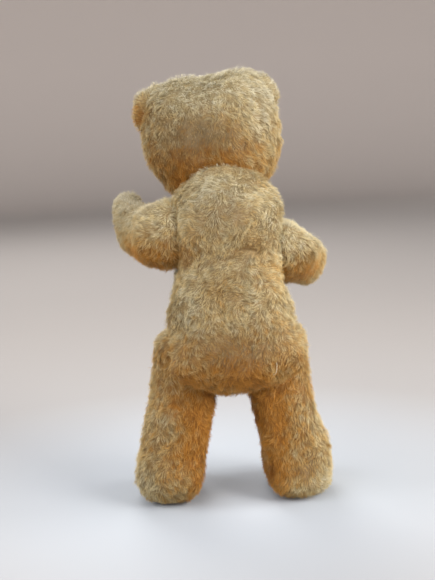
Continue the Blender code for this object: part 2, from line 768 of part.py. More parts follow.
def build():
    clear_scene()
    parts = new_collection(COLLECTION)
    cutters = new_collection(COLLECTION + "_cutters")
    frames = joint_frames()
    empties = {
        joint: add_empty(f"{joint}_joint", place, turn, parts) for joint, (place, turn, _) in frames.items()
    }
    add_torso(frames, empties, parts, cutters)

    upright = Matrix.Identity(3)
    head_turn = add_empty("head_frame", frames["neck"][0], upright, parts)
    add_soft_limb("head", "head", 1, "neck", NECK_DISC, head_turn, empties["neck"], parts, cutters)
    skull = skull_cutter(head_turn, cutters)
    add_ears(skull, head_turn, parts)
    add_face(skull, head_turn, parts)
    add_joint("neck", "head", NECK_DISC, empties["neck"], parts)

    for word, side, lift in (("left", 1, LEFT_ARM_LIFT), ("right", -1, RIGHT_ARM_LIFT)):
        shoulder, hip = f"{word}_shoulder", f"{word}_hip"
        raised = Matrix.Rotation(-lift, 3, "X")
        arm_turn = add_empty(f"arm_{word}_frame", frames[shoulder][0], raised, parts)
        add_soft_limb(
            "arm", f"arm_{word}", side, shoulder, SHOULDER_DISC, arm_turn, empties[shoulder], parts, cutters
        )
        add_paw_pad(f"paw_pad_{word}", side, arm_turn, parts)
        add_joint(shoulder, "arm", SHOULDER_DISC, empties[shoulder], parts)
        leg_turn = add_empty(f"leg_{word}_frame", frames[hip][0], upright, parts)
        add_soft_limb("leg", f"leg_{word}", side, hip, HIP_DISC, leg_turn, empties[hip], parts, cutters)
        add_foot_pad(f"foot_pad_{word}", side, leg_turn, parts)
        add_joint(hip, "leg", HIP_DISC, empties[hip], parts)


build()
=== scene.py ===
"""A threadbare mohair teddy bear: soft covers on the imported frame, with a worn pile grown over them."""

import math

import bmesh
import bpy
import numpy as np
from mathutils import Matrix, Vector, kdtree
from mathutils.bvhtree import BVHTree


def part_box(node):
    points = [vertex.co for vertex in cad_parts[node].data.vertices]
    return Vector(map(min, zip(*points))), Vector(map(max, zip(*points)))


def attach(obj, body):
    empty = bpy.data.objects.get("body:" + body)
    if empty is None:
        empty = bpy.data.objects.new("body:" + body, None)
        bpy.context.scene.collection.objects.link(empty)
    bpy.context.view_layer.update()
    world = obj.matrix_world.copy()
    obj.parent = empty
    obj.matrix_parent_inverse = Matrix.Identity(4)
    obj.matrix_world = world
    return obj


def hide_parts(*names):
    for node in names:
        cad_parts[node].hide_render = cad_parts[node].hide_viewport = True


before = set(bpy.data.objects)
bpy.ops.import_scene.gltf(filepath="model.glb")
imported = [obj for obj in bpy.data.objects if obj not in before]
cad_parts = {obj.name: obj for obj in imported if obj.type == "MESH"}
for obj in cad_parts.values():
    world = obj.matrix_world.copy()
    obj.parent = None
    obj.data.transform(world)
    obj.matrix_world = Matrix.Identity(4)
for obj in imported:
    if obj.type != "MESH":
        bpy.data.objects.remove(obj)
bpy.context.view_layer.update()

MM = 0.001
PILE_LENGTH = 5.8 * MM  # along the cover, where the pile isn't rubbed
PILE_HEIGHT = 2.9 * MM  # how far it stands off the cover
STRAND_WIDTH = 0.23 * MM
ROOT_DEPTH = 0.5 * MM
FLOOR_CLEARANCE = 0.25 * MM
TUFT_SPACING = 4.0 * MM
NEIGHBOUR_REACH = 16 * MM  # how far off a strand still makes room for another cover
SEWN_ON_REACH = 8 * MM  # the same, for a pad, an eye or a stitch
TOUCHING_REACH = 14 * MM  # nearer than this to another cover, a strand is kept out of it
BARE_EDGE = 0.75 * MM  # no strand stands nearer than this to a sewn-on piece
BACK_BEGINS = 34 * MM  # where the torso's pile is divided into its front and its back


def middle_of(node):
    low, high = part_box(node)
    return (Vector(low) + Vector(high)) / 2


MUZZLE = (Vector(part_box("nose_stitching")[0]) + Vector(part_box("mouth_stitching")[1])) / 2
SKULL = middle_of("head_stuffing") + Vector((0, 9 * MM, 0))

scene = bpy.context.scene


# ---------------------------------------------------------------- small helpers


def new_object(name, mesh):
    piece = bpy.data.objects.new(name, mesh)
    scene.collection.objects.link(piece)
    return piece


def finish_bmesh(bm, name):
    """A bmesh as a smooth object, its faces outward."""
    bmesh.ops.recalc_face_normals(bm, faces=bm.faces)
    mesh = bpy.data.meshes.new(name)
    bm.to_mesh(mesh)
    bm.free()
    mesh.shade_smooth()
    return new_object(name, mesh)


def baked(piece):
    """The piece with its modifiers made part of its mesh."""
    graph = bpy.context.evaluated_depsgraph_get()
    mesh = bpy.data.meshes.new_from_object(piece.evaluated_get(graph))
    piece.modifiers.clear()
    old = piece.data
    piece.data = mesh
    mesh.name = piece.name
    bpy.data.meshes.remove(old)
    return piece


def points_of(mesh):
    flat = np.empty(len(mesh.vertices) * 3)
    mesh.vertices.foreach_get("co", flat)
    return flat.reshape(-1, 3)


def set_points(mesh, points):
    mesh.vertices.foreach_set("co", np.ascontiguousarray(points, dtype=np.float32).ravel())
    mesh.update()


def normals_of(mesh):
    flat = np.empty(len(mesh.vertices) * 3, dtype=np.float32)
    mesh.vertex_normals.foreach_get("vector", flat)
    return flat.reshape(-1, 3).astype(float)


def unit(vectors):
    return vectors / np.maximum(np.linalg.norm(vectors, axis=1, keepdims=True), 1e-9)


class Waves:
    """A smooth random field over space, about -1 to 1, of one wavelength, the same each run."""

    def __init__(self, seed, wavelength, count=22):
        random = np.random.RandomState(seed)
        self.directions = unit(random.normal(size=(count, 3))) * (
            2 * math.pi / (wavelength * random.uniform(0.75, 1.4, (count, 1)))
        )
        self.phases = random.uniform(0, 2 * math.pi, count)
        self.scale = math.sqrt(2 / count) / 1.25

    def __call__(self, points):
        return np.sin(points @ self.directions.T + self.phases).sum(axis=1) * self.scale


def near(points, centre, radii):
    """1 at the centre of a soft oval patch, falling to 0 outside it."""
    away = ((points - np.array(centre)) / np.array(radii)) ** 2
    return np.exp(-away.sum(axis=1))


def smooth(values, low, high):
    """0 up to low and 1 from high, with an eased rise between."""
    share = np.clip((values - low) / (high - low), 0, 1)
    return share * share * (3 - 2 * share)


def hump(values, middle, width):
    """1 at the middle value, falling to 0 on both sides."""
    return np.exp(-(((values - middle) / width) ** 2))


# ---------------------------------------------------------------- wear

wear_broad = Waves(31, 26 * MM)
wear_fine = Waves(32, 9 * MM)
ragged_edge = Waves(33, 20 * MM)

# A patch has its middle and half sizes in metres, then its strength. These are where the plush is rubbed
RUBBED = [
    ((0.016, 0.045, 0.279), (0.028, 0.035, 0.015), 1.0),  # behind the head
    ((-0.008, 0.045, 0.272), (0.016, 0.035, 0.010), 0.6),
    ((0.004, 0.074, 0.226), (0.02, 0.03, 0.011), 0.6),  # between the shoulders
    ((0.0, 0.078, 0.127), (0.034, 0.035, 0.015), 0.8),  # the seat
    ((0.0, 0.076, 0.168), (0.014, 0.03, 0.012), 0.35),
    ((0.003, -0.062, 0.272), (0.016, 0.03, 0.014), 0.45),  # the muzzle
    ((0.0, -0.012, 0.150), (0.026, 0.02, 0.03), 0.55),  # the belly
    ((0.074, -0.07, 0.215), (0.014, 0.02, 0.014), 0.5),  # the paws
    ((-0.074, -0.07, 0.19), (0.014, 0.02, 0.014), 0.5),
    ((0.058, 0.055, 0.03), (0.02, 0.012, 0.016), 0.4),  # the heels
    ((-0.058, 0.055, 0.03), (0.02, 0.012, 0.016), 0.4),
    ((0.056, -0.022, 0.028), (0.016, 0.012, 0.012), 0.6),  # the toes
    ((-0.056, -0.022, 0.028), (0.016, 0.012, 0.012), 0.6),
]

# Painted shade: darker amber under the arms, below the left ear and under the seat, where shade falls
PAINTED_SHADE = [
    ((0.058, 0.03, 0.196), (0.036, 0.08, 0.013), 0.42),  # under the left arm
    ((-0.060, 0.03, 0.180), (0.030, 0.08, 0.014), 0.42),  # under the right arm
    ((0.059, 0.0, 0.299), (0.010, 0.03, 0.013), 0.42),  # below the left ear
    ((0.006, 0.06, 0.092), (0.050, 0.04, 0.018), 0.2),  # under the seat
]

# Places darkened: by dirt from handling behind the head, on the seat and on the back, and by painted shade on
# the left thigh under the seat and on the raised left forearm, the side away from the key lamp
DIRT_AND_SHADE = [
    ((0.020, 0.045, 0.278), (0.028, 0.04, 0.015), 0.62),  # behind the head
    ((0.0, 0.078, 0.126), (0.032, 0.04, 0.018), 0.5),  # the seat
    ((0.016, 0.078, 0.216), (0.017, 0.03, 0.012), 0.3),  # the back
    ((-0.004, 0.078, 0.168), (0.018, 0.03, 0.008), 0.15),
    ((0.029, 0.050, 0.088), (0.018, 0.03, 0.012), 0.2),  # the left thigh, under the seat
    ((0.072, -0.03, 0.222), (0.022, 0.05, 0.022), 0.26),  # the raised forearm
]

# Painted highlights: paler where the light catches the sides of the back, the bottom of the seat, the
# outsides of the legs and the right heel
PAINTED_HIGHLIGHTS = [
    ((0.034, 0.06, 0.195), (0.016, 0.04, 0.045), 0.24),  # the sides of the back
    ((-0.034, 0.06, 0.185), (0.018, 0.04, 0.050), 0.24),
    ((0.0, 0.07, 0.098), (0.045, 0.03, 0.014), 0.32),  # the bottom of the seat
    ((-0.072, 0.03, 0.065), (0.016, 0.05, 0.06), 0.36),  # the outsides of the legs
    ((0.072, 0.03, 0.06), (0.016, 0.05, 0.06), 0.18),
    ((-0.060, 0.05, 0.02), (0.03, 0.03, 0.018), 0.2),  # the right heel
]

# Where an arm's pile and the body's meet over the join and hide it; there the strands are also painted
# lighter, over the shade in the groove
MEETING = [
    ((0.042, 0.03, 0.224), (0.014, 0.06, 0.024), 0.9),
    ((-0.045, 0.03, 0.205), (0.014, 0.06, 0.020), 0.9),
]


def patches_at(points, patches):
    """The strongest of the patches at each point, 0 to 1."""
    total = np.zeros(len(points))
    for centre, radii, strength in patches:
        total = np.maximum(total, strength * near(points, centre, radii))
    return total


def wear_at(points):
    """How threadbare the plush is, 0 to 1."""
    total = patches_at(points, RUBBED)
    ragged = 0.22 * wear_broad(points) + 0.16 * wear_fine(points)
    return np.clip(total * (1 + ragged) + 0.25 * ragged * (total > 0.05), 0, 1)


def bleach_and_painted_light_at(points, facing, on_head):
    """How pale the mohair is, 0 amber and 1 straw: partly its own fading, and partly painted light and shade.
    """
    level = np.zeros(len(points))
    wander = np.stack([wear_broad(points), level, ragged_edge(points)], axis=1)
    x, y, z = (points + 4.5 * MM * wander).T
    across = np.abs(x)
    # Painted light: paler facing up, paler on the bear's right towards the key lamp, paler at the nape
    # against the head's shadow, and paler at the crown
    bleach_and_light = 0.56 + 0.17 * facing[:, 2] + 0.06 * smooth(-x, 0.01, 0.05)
    nape = hump(z, 0.242, 0.016) * smooth(y, 0.052, 0.06)
    crown = smooth(z, 0.285, 0.32)
    bleach_and_light += 0.12 * nape
    bleach_and_light += 0.2 * crown
    # Darker amber below the waist, inside the legs and low on the head, partly the mohair's own amber and
    # partly painted shade; the outsides of the legs get a painted highlight
    below_waist = smooth(-z, -0.16, -0.112) * (0.25 + 0.14 * hump(x, 0, 0.036))
    legs = smooth(-z, -0.11, -0.095)
    inner = legs * (1 - smooth(across, 0.016, 0.066))
    sides_of_head = 1 - 0.4 * smooth(-x, 0.0, 0.03) - 0.4 * smooth(x, 0.028, 0.05)
    low_head = on_head * smooth(-z, -0.296, -0.258) * sides_of_head * smooth(y, -0.02, 0.02)
    bleach_and_light -= below_waist + 0.43 * inner + 0.42 * low_head - 0.1 * legs * (1 - inner)
    # Paler at the feet, and a painted highlight along the seat's lower edge
    feet = smooth(-z, -0.045, -0.015)
    edge_of_seat = hump(z, 0.097, 0.010) * smooth(y, 0.035, 0.055) * (1 - smooth(across, 0.03, 0.05))
    bleach_and_light += 0.16 * feet
    bleach_and_light += 0.13 * edge_of_seat
    # Painted shade: darker amber in the shaded patches
    return np.clip(bleach_and_light - patches_at(points, PAINTED_SHADE), 0, 1)


# ---------------------------------------------------------------- materials


def feed(node, inputs):
    """Joins each named input of a node to a socket, or sets it to a constant."""
    for name, value in inputs.items():
        if isinstance(value, bpy.types.NodeSocket):
            node.id_data.links.new(value, node.inputs[name])
        else:
            node.inputs[name].default_value = value


def add_node(tree, kind, inputs, **options):
    node = tree.nodes.new(kind)
    for name, value in options.items():
        setattr(node, name, value)
    feed(node, inputs)
    return node


def new_material(name):
    material = bpy.data.materials.new(name)
    material.use_nodes = True
    tree = material.node_tree
    return material, tree, tree.nodes["Principled BSDF"]


def own_coordinates(tree):
    return add_node(tree, "ShaderNodeTexCoord", {}).outputs["Object"]


def ramp(tree, stops, source):
    """The colours that run over a source from 0 to 1, each stop a place and its colour."""
    node = add_node(tree, "ShaderNodeValToRGB", {"Fac": source})
    node.color_ramp.interpolation = "B_SPLINE"
    elements = node.color_ramp.elements
    while len(elements) < len(stops):
        elements.new(0.5)
    for element, (place, colour) in zip(elements, stops):
        element.position = place
        element.color = (*colour, 1)
    return node.outputs["Color"]


def mix_colour(tree, blend, factor, one, other):
    inputs = {0: factor, 6: one, 7: other}
    return add_node(tree, "ShaderNodeMix", inputs, data_type="RGBA", blend_type=blend).outputs[2]


def object_noise(tree, scale, detail, roughness):
    """Noise on Object coordinates, with the scale in turns a metre."""
    inputs = {"Vector": own_coordinates(tree), "Scale": scale, "Detail": detail, "Roughness": roughness}
    return add_node(tree, "ShaderNodeTexNoise", inputs).outputs["Fac"]


def bump(tree, height, strength, distance):
    """Fine relief, its distance in metres."""
    inputs = {"Height": height, "Strength": strength, "Distance": distance}
    return add_node(tree, "ShaderNodeBump", inputs).outputs["Normal"]


def mohair_pile():
    """Strands: the map's first way is the tone, from amber to straw, and its second way runs root to tip."""
    material, tree, shader = new_material("mohair pile")
    place = add_node(tree, "ShaderNodeUVMap", {}, uv_map="OFBake")
    split = add_node(tree, "ShaderNodeSeparateXYZ", {0: place.outputs["UV"]})
    tone, along = split.outputs["X"], split.outputs["Y"]
    root_stops = [
        (0.0, (0.24, 0.09, 0.012)),
        (0.3, (0.25, 0.145, 0.045)),
        (0.6, (0.22, 0.165, 0.082)),
        (1.0, (0.36, 0.305, 0.195)),
    ]
    tip_stops = [
        (0.0, (0.74, 0.31, 0.025)),
        (0.3, (0.81, 0.55, 0.19)),
        (0.55, (0.88, 0.745, 0.42)),
        (0.8, (0.93, 0.855, 0.60)),
        (1.0, (0.95, 0.92, 0.76)),
    ]
    roots, tips = ramp(tree, root_stops, tone), ramp(tree, tip_stops, tone)
    rise = add_node(tree, "ShaderNodeMapRange", {"Value": along, "From Min": 0.05, "From Max": 0.98})
    colour = mix_colour(tree, "MIX", rise.outputs["Result"], roots, tips)
    feed(shader, {"Base Color": colour, "Roughness": 0.62, "Specular IOR Level": 0.25})
    feed(shader, {"Sheen Weight": 0.15, "Sheen Roughness": 0.4, "Sheen Tint": (0.95, 0.85, 0.65, 1)})
    through = add_node(tree, "ShaderNodeBsdfTranslucent", {"Color": colour})
    blend = add_node(tree, "ShaderNodeMixShader", {0: 0.4, 1: shader.outputs[0], 2: through.outputs[0]})
    feed(tree.nodes["Material Output"], {"Surface": blend.outputs[0]})
    return material


def woven_threads(tree):
    """The height of a plain weave: the higher of two crossed sets of ridges."""
    inputs = {"Vector": own_coordinates(tree), "Scale": 300.0, "Distortion": 2.5, "Detail": 1.5}
    warp = add_node(tree, "ShaderNodeTexWave", {**inputs, "Detail Scale": 1.2}, bands_direction="X")
    weft = add_node(tree, "ShaderNodeTexWave", inputs, bands_direction="Z")
    heights = {0: warp.outputs["Fac"], 1: weft.outputs["Fac"]}
    return add_node(tree, "ShaderNodeMath", heights, operation="MAXIMUM").outputs[0]


def backing_cloth():
    """The woven ground of the plush, painted dark as the shade between the strands, and paler where it is
    rubbed bare.
    """
    material, tree, shader = new_material("backing cloth")
    worn, pale_and_painted_light = (
        add_node(tree, "ShaderNodeAttribute", {}, attribute_name=name).outputs["Fac"]
        for name in ("wear", "pale_and_painted_light")
    )
    # The dye follows the fade map, with its painted light and shade
    dye_and_light_stops = [(0.1, (0.36, 0.16, 0.04)), (0.45, (0.31, 0.205, 0.095)), (0.9, (0.35, 0.295, 0.175))]
    dye_and_light = ramp(tree, dye_and_light_stops, pale_and_painted_light)
    cloth = mix_colour(tree, "MIX", worn, dye_and_light, (0.24, 0.175, 0.10, 1))
    mottle = object_noise(tree, 180, 5.0, 0.65)
    shade = ramp(tree, [(0.3, (0.62, 0.6, 0.56)), (0.7, (1.15, 1.12, 1.05))], mottle)
    colour = mix_colour(tree, "MULTIPLY", 1.0, cloth, shade)
    weave = woven_threads(tree)
    threads = ramp(tree, [(0.2, (0.72, 0.7, 0.66)), (0.8, (1.1, 1.08, 1.04))], weave)
    colour = mix_colour(tree, "MULTIPLY", 0.8, colour, threads)
    feed(shader, {"Base Color": colour, "Normal": bump(tree, weave, 0.5, 0.3 * MM)})
    feed(shader, {"Roughness": 0.92, "Specular IOR Level": 0.15})
    return material


def wool_felt(name, low, high, dirt):
    """Matted felt, rubbed and soiled in soft patches."""
    material, tree, shader = new_material(name)
    fibres = object_noise(tree, 900, 4.0, 0.7)
    patches = object_noise(tree, 70, 3.0, 0.6)
    colour = ramp(tree, [(0.32, low), (0.7, high)], fibres)
    soiled = ramp(tree, [(0.38, dirt), (0.62, (1.0, 1.0, 1.0))], patches)
    colour = mix_colour(tree, "MULTIPLY", 0.85, colour, soiled)
    feed(shader, {"Base Color": colour, "Normal": bump(tree, fibres, 0.6, 0.4 * MM)})
    feed(shader, {"Roughness": 0.95, "Specular IOR Level": 0.1})
    feed(shader, {"Sheen Weight": 0.25, "Sheen Roughness": 0.5})
    return material


def grained(name, grain, stops, relief, finish):
    """A material of one noise that sets its colours and its relief: the noise's scale, detail and roughness,
    the colours, the relief's strength and distance, then the shader's constants."""
    material, tree, shader = new_material(name)
    noise = object_noise(tree, *grain)
    feed(shader, {"Base Color": ramp(tree, stops, noise), "Normal": bump(tree, noise, *relief), **finish})
    return material


def cotton_thread(name, low, high):
    stops = [(0.3, low), (0.75, high)]
    return grained(name, (1600, 2.0, 0.6), stops, (0.5, 0.2 * MM), {"Roughness": 0.7})


def raw_hardboard():
    stops = [(0.3, (0.12, 0.06, 0.025)), (0.7, (0.26, 0.15, 0.07))]
    return grained("raw hardboard", (500, 5.0, 0.7), stops, (0.4, 0.3 * MM), {"Roughness": 0.85})


def dull_steel():
    stops = [(0.35, (0.30, 0.27, 0.24)), (0.7, (0.5, 0.49, 0.48))]
    finish = {"Metallic": 1.0, "Roughness": 0.42}
    return grained("dull steel", (700, 3.0, 0.6), stops, (0.2, 0.1 * MM), finish)


def amber_eye(centre, aim):
    """Dark amber glass with a black pupil, ringed about the eye's own axis."""
    material, tree, shader = new_material("amber eye glass")
    rim = 5.4 * MM

    def vector_step(operation, inputs):
        return add_node(tree, "ShaderNodeVectorMath", inputs, operation=operation)

    offset = vector_step("SUBTRACT", {0: own_coordinates(tree), 1: centre})
    across = vector_step("CROSS_PRODUCT", {0: offset.outputs[0], 1: aim})
    radius = vector_step("LENGTH", {0: across.outputs[0]})
    share = add_node(tree, "ShaderNodeMath", {0: radius.outputs["Value"], 1: rim}, operation="DIVIDE")
    stops = [
        (0.0, (0.004, 0.003, 0.002)),
        (0.46, (0.004, 0.003, 0.002)),
        (0.56, (0.21, 0.075, 0.012)),
        (0.82, (0.12, 0.04, 0.007)),
        (0.95, (0.02, 0.008, 0.003)),
    ]
    colour = ramp(tree, stops, share.outputs[0])
    feed(shader, {"Base Color": colour, "Roughness": 0.08, "Coat Weight": 0.6, "Coat Roughness": 0.04})
    return material


# ---------------------------------------------------------------- covers

lump_broad = Waves(11, 34 * MM)
lump_fine = Waves(12, 11 * MM)


def soft_cover(name, nodes, voxel, rounds):
    """A sewn and stuffed cover: solids of the frame run together as one skin, then eased as cloth is."""
    bm = bmesh.new()
    for node in nodes:
        bm.from_mesh(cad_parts[node].data)
    bmesh.ops.remove_doubles(bm, verts=bm.verts, dist=1e-6)
    mesh = bpy.data.meshes.new(name)
    bm.to_mesh(mesh)
    bm.free()
    piece = new_object(name, mesh)
    skin = piece.modifiers.new("skin", "REMESH")
    skin.mode = "VOXEL"
    skin.voxel_size = voxel
    ease = piece.modifiers.new("ease", "SMOOTH")
    ease.factor = 0.5
    ease.iterations = rounds
    baked(piece)
    bm = bmesh.new()
    bm.from_mesh(piece.data)
    bmesh.ops.recalc_face_normals(bm, faces=bm.faces)
    bm.to_mesh(piece.data)
    bm.free()
    points, normals = points_of(piece.data), normals_of(piece.data)
    lumps = 0.55 * lump_broad(points) + 0.3 * lump_fine(points) + 0.45
    set_points(piece.data, points + normals * (lumps * MM)[:, None])
    piece.data.shade_smooth()
    return piece


def sculpt(piece, change):
    """Moves a cover's points by a function of their places and normals."""
    points = points_of(piece.data)
    set_points(piece.data, points + change(points, normals_of(piece.data)))


def patch(x, y, z, rx, ry, rz, move):
    """A soft oval region moved by a vector, in millimetres throughout."""

    def change(points, _):
        share = near(points, np.array((x, y, z)) * MM, np.array((rx, ry, rz)) * MM)
        return share[:, None] * np.array(move) * MM

    return change


def swelling(x, y, z, rx, ry, rz, amount):
    """A soft oval region moved along its own normals, in millimetres, inward if the amount is negative."""

    def change(points, normals):
        share = near(points, np.array((x, y, z)) * MM, np.array((rx, ry, rz)) * MM)
        return share[:, None] * normals * amount * MM

    return change


def lean_of_head(points, _):
    """The stuffing has settled to the bear's left, and its crown slopes down on that side."""
    x, z = points[:, 0], points[:, 2]
    move = np.zeros_like(points)
    move[:, 0] = 3.2 * MM * smooth(z, 0.244, 0.262) * (1 - 0.8 * smooth(z, 0.3, 0.326))
    slope = hump(x, 0.021, 0.021) * smooth(z, 0.296, 0.324)
    move[:, 2] = -7.5 * MM * slope
    return move


def seat_of_torso(points, _):
    """The seat is drawn up between the legs."""
    move = np.zeros_like(points)
    move[:, 2] = 5.0 * MM * smooth(-points[:, 2], -0.116, -0.086)
    return move


def rounded_back(points, _):
    """The nape and the seat turned in at the top and bottom of the back."""
    y, z = points[:, 1], points[:, 2]
    move = np.zeros_like(points)
    turned = 13 * smooth(z, 0.226, 0.264) ** 1.5 + 10 * smooth(-z, -0.110, -0.082) ** 1.5
    move[:, 1] = -turned * MM * smooth(y, 0.046, 0.074)
    return move


def slope_of_arm(points, _):
    """The limp arm's top runs down from the shoulder to the elbow."""
    x, z = points[:, 0], points[:, 2]
    limit = 0.2145 - 0.82 * np.maximum(-0.046 - x, 0)
    easing = 5 * MM
    over = np.maximum(z - (limit - easing), 0)
    move = np.zeros_like(points)
    move[:, 2] = -(over - easing * (1 - np.exp(-over / easing)))
    return move


def round_heel(side, rise):
    """The foot's lower edge turned under all round, most at the heel, over a height in metres."""

    def change(points, _):
        middle = np.array((side * 0.0535, 0.0095, 0.0))
        below = np.clip((rise - points[:, 2]) / rise, 0, 1)
        away = points - middle
        away[:, 2] = 0
        share = 1 - np.sqrt(1 - 0.66 * below**2)
        keep = np.where(away[:, 1] > 0, 1.0, 0.55)
        return -away * (share * keep)[:, None]

    return change


# The wrinkle across the back: runs from one (x, z) to another in metres, and how deep each is
CREASE_WIDTH = 1.9 * MM
CREASE_DEPTH = 3.6 * MM
CREASE = [
    ((-0.033, 0.1968), (-0.0196, 0.1972), 0.18),
    ((-0.0196, 0.1972), (-0.0112, 0.1999), 0.9),
    ((-0.0112, 0.1999), (-0.0050, 0.2003), 1.0),
    ((-0.0080, 0.1960), (0.0080, 0.1932), 0.62),
    ((0.0080, 0.1932), (0.0220, 0.1895), 0.15),
]


def crease_at(points):
    """How deep in the wrinkle across the back a place lies, 0 to 1."""
    depth = np.zeros(len(points))
    for start, end, strength in CREASE:
        start, run = np.array(start), np.array(end) - np.array(start)
        share = np.clip(((points[:, [0, 2]] - start) @ run) / (run @ run), 0, 1)
        away = np.linalg.norm(points[:, [0, 2]] - start - share[:, None] * run, axis=1)
        depth = np.maximum(depth, strength * hump(away, 0, CREASE_WIDTH))
    return depth * (points[:, 1] > 0.04)


def wrinkle(points, normals):
    return -normals * (crease_at(points) * CREASE_DEPTH)[:, None]


def shoulder_cap(side, height):
    """The arm's round end filled out about the axis it swings on, to meet the body."""

    def change(points, _):
        about = points - np.array((0, 0.031, height))
        about[:, 0] = 0
        share = 1 - smooth(side * points[:, 0], 0.042, 0.056)
        move = unit(about) * (2.4 * MM * share)[:, None]
        move[:, 0] = -side * 0.8 * MM * share
        return move

    return change


# What shapes each cover, in this order, once it is remeshed and eased
SHAPING = {
    "torso_cover": [
        seat_of_torso,
        rounded_back,
        wrinkle,
        swelling(-14, 76, 208, 14, 20, 4, 0.8),
        swelling(-37, 34, 226, 13, 30, 15, 3.6),
        swelling(37, 34, 238, 13, 30, 10, 1.6),
        patch(42, 62, 108, 14, 17, 19, (7.5, 6.5, 0)),
        patch(-42, 62, 109, 14, 17, 20, (-10.5, 6.5, 0)),
        patch(0, 70, 104, 40, 20, 16, (0, 1.5, 0)),
        patch(34, 62, 250, 15, 26, 15, (-4.0, -2.0, -7.5)),
        patch(-34, 62, 250, 15, 26, 15, (4.0, -2.0, -6.5)),
        swelling(44, 35, 174, 14, 40, 20, -2.6),
        swelling(-42, 35, 186, 10, 40, 14, -0.8),
        swelling(0, 80, 140, 26, 20, 22, 0.8),
        patch(47, 34, 145, 12, 40, 11, (3.2, 0, 0)),
        patch(-46, 34, 149, 12, 40, 9, (-1.8, 0, 0)),
        patch(-48, 66, 95, 16, 18, 10, (0.6, -2.4, 2.2)),
        patch(46, 66, 96, 18, 18, 10, (-1.5, -3.0, 3.5)),
        patch(-17, 62, 258, 15, 20, 12, (0, -1.0, -3.4)),
        patch(9, 66, 258, 9, 14, 9, (0, 0.6, 1.4)),
    ],
    "head_cover": [
        lean_of_head,
        patch(-46, 20, 262, 14, 40, 16, (-1.6, 0, 0)),
        patch(-24, 4, 326, 12, 30, 12, (-0.5, 1.5, 4.2)),
        patch(4, 5, 331, 20, 44, 12, (0, 0, -3.4)),
        patch(30, 5, 318, 15, 40, 12, (0, 0, 4.4)),
        patch(45, 5, 316, 9, 40, 12, (0.6, 0, 3.2)),
        patch(-15, 5, 331, 22, 44, 12, (0, 0, -1.9)),
        patch(50, 10, 276, 12, 40, 22, (1.6, 0, 0)),
        patch(34, 10, 243, 18, 40, 14, (1.8, 0, -3.0)),
        patch(-48, 2, 306, 10, 24, 12, (-2.5, 2.0, 0)),
    ],
    "arm_left_cover": [
        shoulder_cap(1, 0.209),
        swelling(72, -10, 205, 30, 60, 30, -1.6),
        patch(78, -20, 224, 20, 40, 14, (-1.0, 0, -2.0)),
        patch(88, -40, 210, 12, 60, 24, (-2.2, 0, 0)),
        patch(62, 0, 188, 26, 60, 9, (0, 0, -3.0)),
    ],
    "arm_right_cover": [
        shoulder_cap(-1, 0.197),
        slope_of_arm,
        patch(-66, -10, 163, 24, 70, 11, (0, 0, -4.4)),
    ],
    "ear_left_cover": [
        patch(52, 0, 318, 16, 30, 26, (3.0, 1.5, -1.5)),
        swelling(56, 0, 312, 16, 30, 20, 0.8),
        patch(47, 0, 324, 16, 30, 12, (-1.0, 0, 6.0)),
        patch(58, 0, 288, 14, 30, 9, (1.2, 0, -3.6)),
    ],
    "ear_right_cover": [patch(-44, 0, 325, 22, 30, 26, (2.8, 4.5, -1.4))],
    "leg_left_cover": [
        round_heel(1, 0.027),
        patch(72, 30, 105, 12, 30, 20, (-1.5, 0, 0)),
        patch(58, 30, 142, 18, 34, 14, (-2.5, 0, -7.0)),
        patch(46, 54, 104, 26, 14, 24, (0, -4.5, 0)),
    ],
    "leg_right_cover": [
        round_heel(-1, 0.012),
        patch(-78, 46, 6, 16, 30, 14, (3.0, -3.0, 0)),
        patch(-36, 30, 70, 16, 40, 46, (2.6, 0, 0)),
        patch(-78, 35, 70, 14, 40, 15, (3.0, 0, 0)),
        patch(-74, 35, 84, 16, 40, 24, (5.0, 0, 0)),
        patch(-84, 20, 26, 12, 40, 14, (2.6, 0, 0)),
        patch(-62, 30, 143, 18, 34, 14, (2.5, 0, -6.0)),
        patch(-46, 54, 104, 26, 14, 24, (0, -4.5, 0)),
    ],
}


def is_of_head(piece):
    return piece.name.startswith(("head", "ear"))


def add_wear(piece):
    """How rubbed the cover is, and how faded with its painted light and shade, kept with its points for the
    cloth's colour.
    """
    points = points_of(piece.data)
    for name, values in (
        ("wear", wear_at(points)),
        ("pale_and_painted_light", bleach_and_painted_light_at(points, normals_of(piece.data), is_of_head(piece))),
    ):
        kept = piece.data.attributes.new(name, "FLOAT", "POINT")
        kept.data.foreach_set("value", values.astype(np.float32))


def tree_of(pieces):
    """A search tree over several covers."""
    points, faces = [], []
    for piece in pieces:
        start = len(points)
        points += [v.co.copy() for v in piece.data.vertices]
        faces += [[start + i for i in p.vertices] for p in piece.data.polygons]
    return BVHTree.FromPolygons(points, faces)


# ---------------------------------------------------------------- face and pads


def own_piece(piece, material, body, slot, *nodes):
    """A new piece with its material, its body and the soft solids that it stands for, which it hides. Its
    slot is not used.
    """
    piece.data.materials.append(material)
    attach(piece, body)
    if nodes:
        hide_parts(*nodes)
    return piece


def join_rings(bm, inner, outer):
    """A band of faces between two rings of points."""
    for i in range(len(inner)):
        ahead = (i + 1) % len(inner)
        bm.faces.new((inner[i], inner[ahead], outer[ahead], outer[i]))


